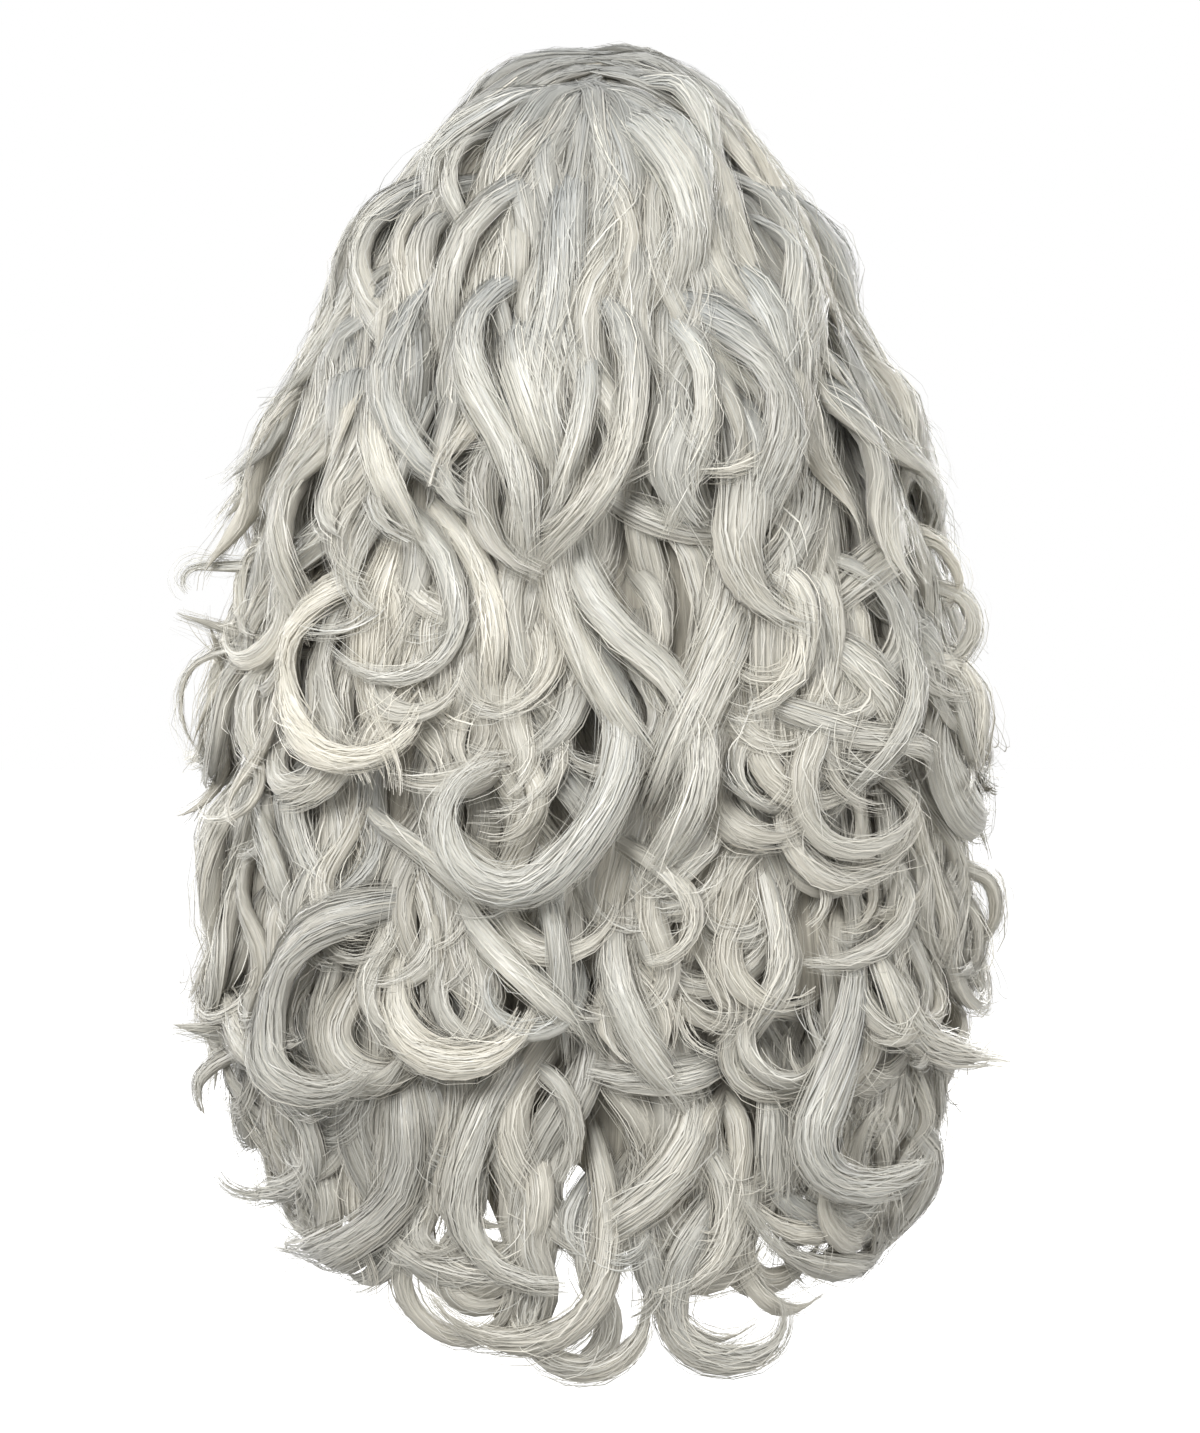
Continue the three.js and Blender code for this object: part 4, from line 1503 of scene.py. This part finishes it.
    def both_spines(
        self, lock: Lock, points: np.ndarray, normals: np.ndarray, rng: np.random.Generator
    ) -> tuple[Spine, Spine]:
        """Fine spine for a lock's body and coarse spine for its fibres.

        Args:
            lock: The lock.
            points: Its course on the surface in mm.
            normals: Outward directions along it.
            rng: Source of its twist.

        Returns:
            The two spines.
        """
        phase = rng.random()
        return (
            lock.spine(points, normals, phase, self.body_spacing),
            lock.spine(points, normals, phase, self.fibre_spacing),
        )

    def backing_grid(self, rng: np.random.Generator) -> np.ndarray:
        """Points of the backing as a closed shell with a ragged foot.

        Args:
            rng: Source of the foot's strand ends.

        Returns:
            Points in mm, (rows, columns, 3).
        """
        if self.tier is Tier.CROWN:
            return self.crown_grid()
        form = BACKINGS[self.tier]
        rows, columns = 20, 90
        scallops, scallop, longest, shortest = 6, 12, -24, 12
        skin = 0.2
        across = np.linspace(0, 1, columns)[None]
        down = np.linspace(0, 1, rows)[:, None]
        first = form.root_span[0] + (form.foot_span[0] - form.root_span[0]) * down
        last = form.root_span[1] + (form.foot_span[1] - form.root_span[1]) * down
        angle = np.radians(first + (last - first) * across)
        root = self.cap.line(self.cap.edge, angle) + form.root + form.root_back * np.cos(angle)
        foot = form.foot + form.foot_rise + form.foot_lift * np.sin(angle) ** 2
        foot = foot + scallop * np.cos(scallops * angle) + rng.uniform(longest, shortest, columns)
        z = root + (foot - root) * down
        free = smooth(root - z, 0, form.root_run)[..., None]
        closing = 1 - smooth(np.abs(2 * down - 1), 0.9, 1.0)
        sheets = []
        for outer in (1, 0):
            thickness = outer * (form.wall - 2 * skin) * closing[..., None]
            seat = self.cap.wall + form.gap + skin + thickness
            hanging = self.form.place(angle, z, self.tier.steps, 0.0)
            inward = self.form.place(angle, z, self.tier.steps, -1.0) - hanging
            depth = form.inset + (1 - outer * closing[..., None]) * form.wall
            hanging = hanging + inward * depth
            level = self.cap.place(angle, z, 0.0)
            level = level + unit(level * np.array([1, 1, 0])) * seat
            sheets.append(level * (1 - free) + hanging * free)
        return np.concatenate([sheets[0], sheets[1][:, ::-1], sheets[0][:, :1]], 1)

    def crown_grid(self) -> np.ndarray:
        """Points of the crown's backing: outer dome, rim and the inner side that seats on the cap.

        Returns:
            Points in mm, (rows, columns, 3).
        """
        rows, columns = 24, 73
        share = np.linspace(0, 1, rows)[:, None]
        angle = np.linspace(0, 2 * np.pi, columns)[None]
        inset, rim_wall, seat_gap = -9.0, -14.0, 1.1
        top, rim_rise, root_run = 28.0, 24, 45
        z = top - (top - self.cap.line(self.cap.rim, angle) - rim_rise) * share**2
        outer = self.form.place(angle, z, 0, 0.0)
        outer = outer + unit(outer * np.array([1, 1, 0])) * inset * smooth(share, 0, 0.3)[..., None]
        outer[0] = (0, 0, top)
        seat = self.cap.wall + seat_gap
        edge = self.cap.line(self.cap.edge, angle)
        z = seat - (seat - edge) * share**2
        root = edge + 60 + 30 * np.cos(angle)
        free = smooth(root - z, 0, root_run)[..., None]
        inner = self.cap.place(angle, z, seat) * (1 - free)
        inner = inner + self.form.place(angle, z, 0, rim_wall) * free
        return np.concatenate([outer, inner[::-1]], 0)

    def build(
        self, fibre: bpy.types.Material, core: bpy.types.Material, ground: bpy.types.Material
    ) -> list[bpy.types.Object]:
        """Builds the tier's pieces and puts them in the place of its node.

        Args:
            fibre: Finish of the fibres.
            core: Finish of the lock bodies.
            ground: Finish of the backing.

        Returns:
            The pieces.
        """
        rng = np.random.default_rng(self.seed)
        name = self.tier.node
        look = TIER_LOOKS[self.tier]
        backing = StrandMesh(f"{name}_backing", 1.0)
        grid = self.backing_grid(rng)
        # The backing is painted dark, as shaded hair beneath the locks.
        tone = np.broadcast_to(np.array([look.ground, look.ground_warmth, look.ground_shade]), grid.shape)
        lay = np.stack([np.cumsum(np.full(grid.shape[:2], look.ground_step), 1), -grid[..., 2]], -1)
        backing.add(grid[None], tone[None], lay[None])
        bodies = StrandMesh(f"{name}_bodies", 5.0)
        under = StrandMesh(f"{name}_under_locks")
        outer = StrandMesh(f"{name}_outer_locks")
        thin = 1.0
        # Under locks are painted in extra shade, as they lie beneath the outer locks.
        for mesh, spines, count, wisps, beneath_shade in (
            (under, self.under_spines(rng), look.under, self.wisps[0], self.under_shade),
            (outer, self.outer_spines(rng), look.outer, self.wisps[1], 0.0),
        ):
            for fine, coarse in spines:
                breadth = coarse.half.max() / self.full_half
                fill = FibreLook(
                    fibres=max(12, int(count * breadth * thin)),
                    clumps=look.clumps,
                    gather=look.gather,
                    tone=look.tone + rng.normal(0, 0.08),
                    warmth=float(np.clip(look.warmth + rng.normal(0, 0.14), 0, 1)),
                    depth=look.depth + beneath_shade,
                    root_cool=look.root_cool,
                )
                frizz = FibreLook(
                    fibres=max(3, int(wisps * thin)),
                    width=0.34,
                    clumps=3,
                    waver=5.5,
                    strays=0.0,
                    shaded=0.0,
                    tone=fill.tone + 0.1,
                    warmth=fill.warmth,
                    depth=look.depth,
                    loose=9.0,
                )
                bodies.add_body(fine, fill, rng)
                mesh.add_fibres(coarse, fill, rng)
                mesh.add_fibres(coarse, frizz, rng)
        pieces = []
        for mesh, finish in ((backing, ground), (bodies, core), (under, fibre), (outer, fibre)):
            piece = mesh.build(finish)
            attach(piece, "root")
            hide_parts(name)
            LOG.info("%s: %d triangles", piece.name, mesh.triangles())
            pieces.append(piece)
        return pieces


@dataclass(frozen=True)
class HairFinish:
    """Finish of the hair: cool and warm colours, the colour of its painted shade, streaks and gloss.

    Roughness runs from the first value to the second with the streaks, whose noise is scaled by
    streak_across and streak_along to the mm. The depth of the bump is in mm.
    """

    name: str
    cool: tuple[float, float, float] = (0.55, 0.565, 0.545)
    warm: tuple[float, float, float] = (0.80, 0.765, 0.665)
    # Colour of the painted shade, mixed in by a fibre's depth.
    shade_colour: tuple[float, float, float] = (0.37, 0.335, 0.26)
    roughness: tuple[float, float] = (0.34, 0.5)
    streak_across: float = 0.9
    streak_along: float = 0.05
    contrast: float = 0.5
    specular: float = 0.65
    sheen: float = 0.35
    sheen_roughness: float = 0.45
    bump: float = 0.0
    bump_depth: float = 1.2

    def material(self, tone_group: bpy.types.NodeTree) -> bpy.types.Material:
        """Makes the material.

        Args:
            tone_group: Shared colouring of the fibres.

        Returns:
            The new material.
        """
        made = bpy.data.materials.new(self.name)
        made.use_nodes = True
        nodes, links = made.node_tree.nodes, made.node_tree.links
        shader = nodes["Principled BSDF"]
        group = nodes.new("ShaderNodeGroup")
        group.node_tree = tone_group
        for socket, value in (
            ("Cool", (*self.cool, 1)),
            ("Warm", (*self.warm, 1)),
            ("Painted Shade", (*self.shade_colour, 1)),
            ("Across", self.streak_across),
            ("Along", self.streak_along),
            ("Contrast", self.contrast),
            ("Smooth", self.roughness[0]),
            ("Rough", self.roughness[1]),
        ):
            group.inputs[socket].default_value = value
        links.new(group.outputs["Color"], shader.inputs["Base Color"])
        links.new(group.outputs["Roughness"], shader.inputs["Roughness"])
        shader.inputs["Specular IOR Level"].default_value = self.specular
        shader.inputs["Sheen Weight"].default_value = self.sheen
        shader.inputs["Sheen Roughness"].default_value = self.sheen_roughness
        if self.bump:
            bump = nodes.new("ShaderNodeBump")
            bump.inputs["Strength"].default_value = self.bump
            bump.inputs["Distance"].default_value = self.bump_depth * MM
            links.new(group.outputs["Streak"], bump.inputs["Height"])
            links.new(bump.outputs["Normal"], shader.inputs["Normal"])
        return made


def fibre_tone_group() -> bpy.types.NodeTree:
    """Shared colouring: mixes cool and warm by the fibre's warmth, scales by its tone, and mixes in the
    painted shade colour by the fibre's depth, with streaks.

    Returns:
        The node group.
    """
    group = bpy.data.node_groups.new("fibre_tone", "ShaderNodeTree")
    sockets = group.interface
    for name in ("Cool", "Warm", "Painted Shade"):
        sockets.new_socket(name, in_out="INPUT", socket_type="NodeSocketColor")
    for name in ("Across", "Along", "Contrast", "Smooth", "Rough"):
        sockets.new_socket(name, in_out="INPUT", socket_type="NodeSocketFloat")
    sockets.new_socket("Color", in_out="OUTPUT", socket_type="NodeSocketColor")
    sockets.new_socket("Roughness", in_out="OUTPUT", socket_type="NodeSocketFloat")
    sockets.new_socket("Streak", in_out="OUTPUT", socket_type="NodeSocketFloat")
    nodes, links = group.nodes, group.links
    entry = nodes.new("NodeGroupInput")
    leave = nodes.new("NodeGroupOutput")
    fibre = nodes.new("ShaderNodeAttribute")
    fibre.attribute_name = "fibre"
    parts = nodes.new("ShaderNodeSeparateColor")
    links.new(fibre.outputs["Color"], parts.inputs["Color"])
    lay = nodes.new("ShaderNodeUVMap")
    lay.uv_map = "lay"
    split = nodes.new("ShaderNodeSeparateXYZ")
    links.new(lay.outputs["UV"], split.inputs[0])
    place = nodes.new("ShaderNodeCombineXYZ")
    for axis, name in enumerate(("Across", "Along")):
        scale = math_node(group, "MULTIPLY", split.outputs[axis], entry.outputs[name])
        links.new(scale, place.inputs[axis])
    noise = nodes.new("ShaderNodeTexNoise")
    noise.noise_dimensions = "2D"
    noise.inputs["Scale"].default_value = 1.0
    noise.inputs["Detail"].default_value = 3.0
    noise.inputs["Roughness"].default_value = 0.65
    links.new(place.outputs[0], noise.inputs["Vector"])
    streak = noise.outputs["Fac"]
    hue = mix_node(group, parts.outputs["Green"], entry.outputs["Cool"], entry.outputs["Warm"])
    tone_gain, darkest = 0.62, 0.53
    tone = math_node(group, "MULTIPLY_ADD", parts.outputs["Red"], tone_gain, darkest)
    # Painted shade: the hue mixed towards the shade colour by the fibre's depth.
    sunk = mix_node(group, parts.outputs["Blue"], hue, entry.outputs["Painted Shade"])
    swing = math_node(group, "SUBTRACT", streak, 0.5)
    grain = math_node(group, "MULTIPLY_ADD", swing, entry.outputs["Contrast"], 1.0)
    bright = math_node(group, "MULTIPLY", tone, grain)
    scaled = nodes.new("ShaderNodeVectorMath")
    scaled.operation = "SCALE"
    links.new(sunk, scaled.inputs[0])
    links.new(bright, scaled.inputs["Scale"])
    links.new(scaled.outputs[0], leave.inputs["Color"])
    span = math_node(group, "SUBTRACT", entry.outputs["Rough"], entry.outputs["Smooth"])
    rough = math_node(group, "MULTIPLY_ADD", streak, span, entry.outputs["Smooth"])
    links.new(rough, leave.inputs["Roughness"])
    links.new(streak, leave.inputs["Streak"])
    return group


Value = bpy.types.NodeSocket | float


def math_node(tree: bpy.types.NodeTree, operation: str, *values: Value) -> bpy.types.NodeSocket:
    """Adds a math node.

    Args:
        tree: Node tree that it goes in.
        operation: Its operation.
        values: Sockets or numbers for its inputs.

    Returns:
        Its output.
    """
    node = tree.nodes.new("ShaderNodeMath")
    node.operation = operation
    for value, socket in zip(values, node.inputs):
        if isinstance(value, bpy.types.NodeSocket):
            tree.links.new(value, socket)
        else:
            socket.default_value = value
    return node.outputs[0]


def mix_node(tree: bpy.types.NodeTree, share: Value, *colours: Value) -> bpy.types.NodeSocket:
    """Adds a colour mix.

    Args:
        tree: Node tree that it goes in.
        share: Share of the second colour.
        colours: The two colours, as sockets or values.

    Returns:
        Its output.
    """
    node = tree.nodes.new("ShaderNodeMix")
    node.data_type = "RGBA"
    for value, socket in zip((share, *colours), (node.inputs[0], node.inputs[6], node.inputs[7])):
        if isinstance(value, bpy.types.NodeSocket):
            tree.links.new(value, socket)
        else:
            socket.default_value = value
    return node.outputs[2]


@dataclass(frozen=True)
class NetFinish:
    """Finish of the cap: fine knitted net.

    Edge is where a cord ends and an opening begins, in cells. The openings are painted dark, as shade
    seen through the net. Fuzz is the scale of the random patches that vary its tone, from shade_base
    up by shade_gain. The depth of the bump is in mm.
    """

    cord: tuple[float, float, float] = (0.50, 0.47, 0.41)
    # Colour of the net's openings: painted shade seen through them.
    hole_shade: tuple[float, float, float] = (0.20, 0.185, 0.16)
    cells_per_metre: float = 420.0
    randomness: float = 0.9
    edge: tuple[float, float] = (0.08, 0.26)
    fuzz: float = 90.0
    shade_gain: float = 0.5
    shade_base: float = 0.75
    roughness: float = 0.8
    bump: float = 0.7
    bump_depth: float = 0.5

    def material(self) -> bpy.types.Material:
        """Makes the material.

        Returns:
            The new material.
        """
        made = bpy.data.materials.new("cap_net")
        made.use_nodes = True
        nodes, links = made.node_tree.nodes, made.node_tree.links
        shader = nodes["Principled BSDF"]
        place = nodes.new("ShaderNodeTexCoord")
        cells = nodes.new("ShaderNodeTexVoronoi")
        cells.feature = "DISTANCE_TO_EDGE"
        cells.inputs["Scale"].default_value = self.cells_per_metre
        cells.inputs["Randomness"].default_value = self.randomness
        links.new(place.outputs["Object"], cells.inputs["Vector"])
        edge = nodes.new("ShaderNodeMapRange")
        edge.interpolation_type = "SMOOTHSTEP"
        edge.inputs["From Min"].default_value = self.edge[0]
        edge.inputs["From Max"].default_value = self.edge[1]
        links.new(cells.outputs["Distance"], edge.inputs["Value"])
        fuzz = nodes.new("ShaderNodeTexNoise")
        fuzz.inputs["Scale"].default_value = self.fuzz
        links.new(place.outputs["Object"], fuzz.inputs["Vector"])
        net = mix_node(made.node_tree, edge.outputs["Result"], (*self.cord, 1), (*self.hole_shade, 1))
        shading = (fuzz.outputs["Fac"], self.shade_gain, self.shade_base)
        shade = math_node(made.node_tree, "MULTIPLY_ADD", *shading)
        scaled = nodes.new("ShaderNodeVectorMath")
        scaled.operation = "SCALE"
        links.new(net, scaled.inputs[0])
        links.new(shade, scaled.inputs["Scale"])
        links.new(scaled.outputs[0], shader.inputs["Base Color"])
        shader.inputs["Roughness"].default_value = self.roughness
        height = math_node(made.node_tree, "SUBTRACT", 1.0, edge.outputs["Result"])
        bump = nodes.new("ShaderNodeBump")
        bump.inputs["Strength"].default_value = self.bump
        bump.inputs["Distance"].default_value = self.bump_depth * MM
        links.new(height, bump.inputs["Height"])
        links.new(bump.outputs["Normal"], shader.inputs["Normal"])
        return made


@dataclass(frozen=True)
class SoftLight:
    """Square soft light: place, aim and size in metres, and power in watts."""

    name: str
    place: tuple[float, float, float]
    size: float
    power: float
    aim: tuple[float, float, float] = (0.0, -0.05, -0.3)

    def build(self) -> None:
        """Adds the light, turned to its aim."""
        data = bpy.data.lights.new(self.name, "AREA")
        data.size = self.size
        data.energy = self.power
        made = bpy.data.objects.new(self.name, data)
        made.location = self.place
        way = Vector(self.aim) - Vector(self.place)
        made.rotation_euler = way.to_track_quat("-Z", "Y").to_euler()
        bpy.context.scene.collection.objects.link(made)


@dataclass(frozen=True)
class Studio:
    """Camera behind the hair, pale floor, white surround and soft lights, in metres.

    Floor and surround look white to the camera, and light the hair less brightly than that.
    """

    frame_height: float = 0.7165
    plane_y: float = -0.150
    distance: float = 2.5
    middle: tuple[float, float] = (0.004, -0.313)
    sensor: float = 36.0
    floor_z: float = -0.664
    floor_size: float = 60.0
    floor_shade: float = 0.4
    floor_roughness: float = 0.9
    floor_glow: float = 0.85
    sky: float = 0.6
    lights: tuple[SoftLight, ...] = (
        SoftLight("key_light", (-0.8, -2.1, 0.8), 1.1, 54.0),
        SoftLight("fill_light", (2.1, -1.2, 0.2), 1.4, 22.0),
        SoftLight("front_light", (1.2, 2.1, 0.45), 1.3, 52.0),
        SoftLight("side_light", (-2.1, 1.0, 0.35), 1.2, 32.0),
        SoftLight("top_light", (0.2, 0.1, 1.5), 1.2, 5.0),
    )

    def camera(self) -> None:
        """Adds the camera, level and square to the back of the hair."""
        data = bpy.data.cameras.new("camera")
        data.sensor_width = self.sensor
        data.lens = self.sensor * self.distance / self.frame_height
        made = bpy.data.objects.new("camera", data)
        made.location = (self.middle[0], self.plane_y - self.distance, self.middle[1])
        made.rotation_euler = (math.pi / 2, 0, 0)
        bpy.context.scene.collection.objects.link(made)
        bpy.context.scene.camera = made

    def floor(self) -> None:
        """Adds the floor, which glows for the camera alone."""
        bpy.ops.object.select_all(action="DESELECT")
        bpy.ops.mesh.primitive_plane_add(size=self.floor_size, location=(0, 0, self.floor_z))
        floor = bpy.context.object
        floor.name = "floor"
        bpy.ops.object.transform_apply(location=True)
        material = bpy.data.materials.new("pale_floor")
        material.use_nodes = True
        shader = material.node_tree.nodes["Principled BSDF"]
        shader.inputs["Base Color"].default_value = (*[self.floor_shade] * 3, 1)
        shader.inputs["Roughness"].default_value = self.floor_roughness
        shader.inputs["Emission Strength"].default_value = self.floor_glow
        seen = material.node_tree.nodes.new("ShaderNodeLightPath").outputs["Is Camera Ray"]
        material.node_tree.links.new(seen, shader.inputs["Emission Color"])
        floor.data.materials.append(material)

    def surround(self) -> None:
        """Sets the even white surround, which lights the hair less brightly than it looks."""
        world = bpy.data.worlds.new("surround")
        world.use_nodes = True
        tree = world.node_tree
        background = tree.nodes["Background"]
        background.inputs["Color"].default_value = (1, 1, 1, 1)
        seen = tree.nodes.new("ShaderNodeLightPath").outputs["Is Camera Ray"]
        strength = math_node(tree, "MULTIPLY_ADD", seen, 1 - self.sky, self.sky)
        tree.links.new(strength, background.inputs["Strength"])
        bpy.context.scene.world = world

    def build(self) -> None:
        """Adds camera, floor, surround and lights."""
        bpy.context.scene.view_settings.view_transform = "Standard"
        self.camera()
        self.floor()
        self.surround()
        for light in self.lights:
            light.build()


def main() -> None:
    """Builds the studio, the cap's finish and every tier of hair."""
    logging.basicConfig(level=logging.INFO, format="%(name)s %(message)s")
    Studio().build()
    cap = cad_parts["cap"]
    cap.material_slots[0].material = NetFinish().material()
    LOG.info("cap: net finish")
    tones = fibre_tone_group()
    fibre = HairFinish("hair_fibre").material(tones)
    core = HairFinish(
        "hair_core",
        roughness=(0.4, 0.55),
        streak_across=0.6,
        contrast=0.9,
        specular=0.5,
        bump=0.5,
    ).material(tones)
    backing = HairFinish(
        "hair_backing",
        roughness=(0.5, 0.65),
        streak_across=0.4,
        streak_along=0.012,
        contrast=1.8,
        specular=0.35,
        bump=0.8,
    ).material(tones)
    form, cap_form = HairForm(), CapForm()
    for seed, tier in enumerate(Tier, 11):
        HairTier(tier, form, cap_form, seed).build(fibre, core, backing)


if __name__ == "__main__":
    main()
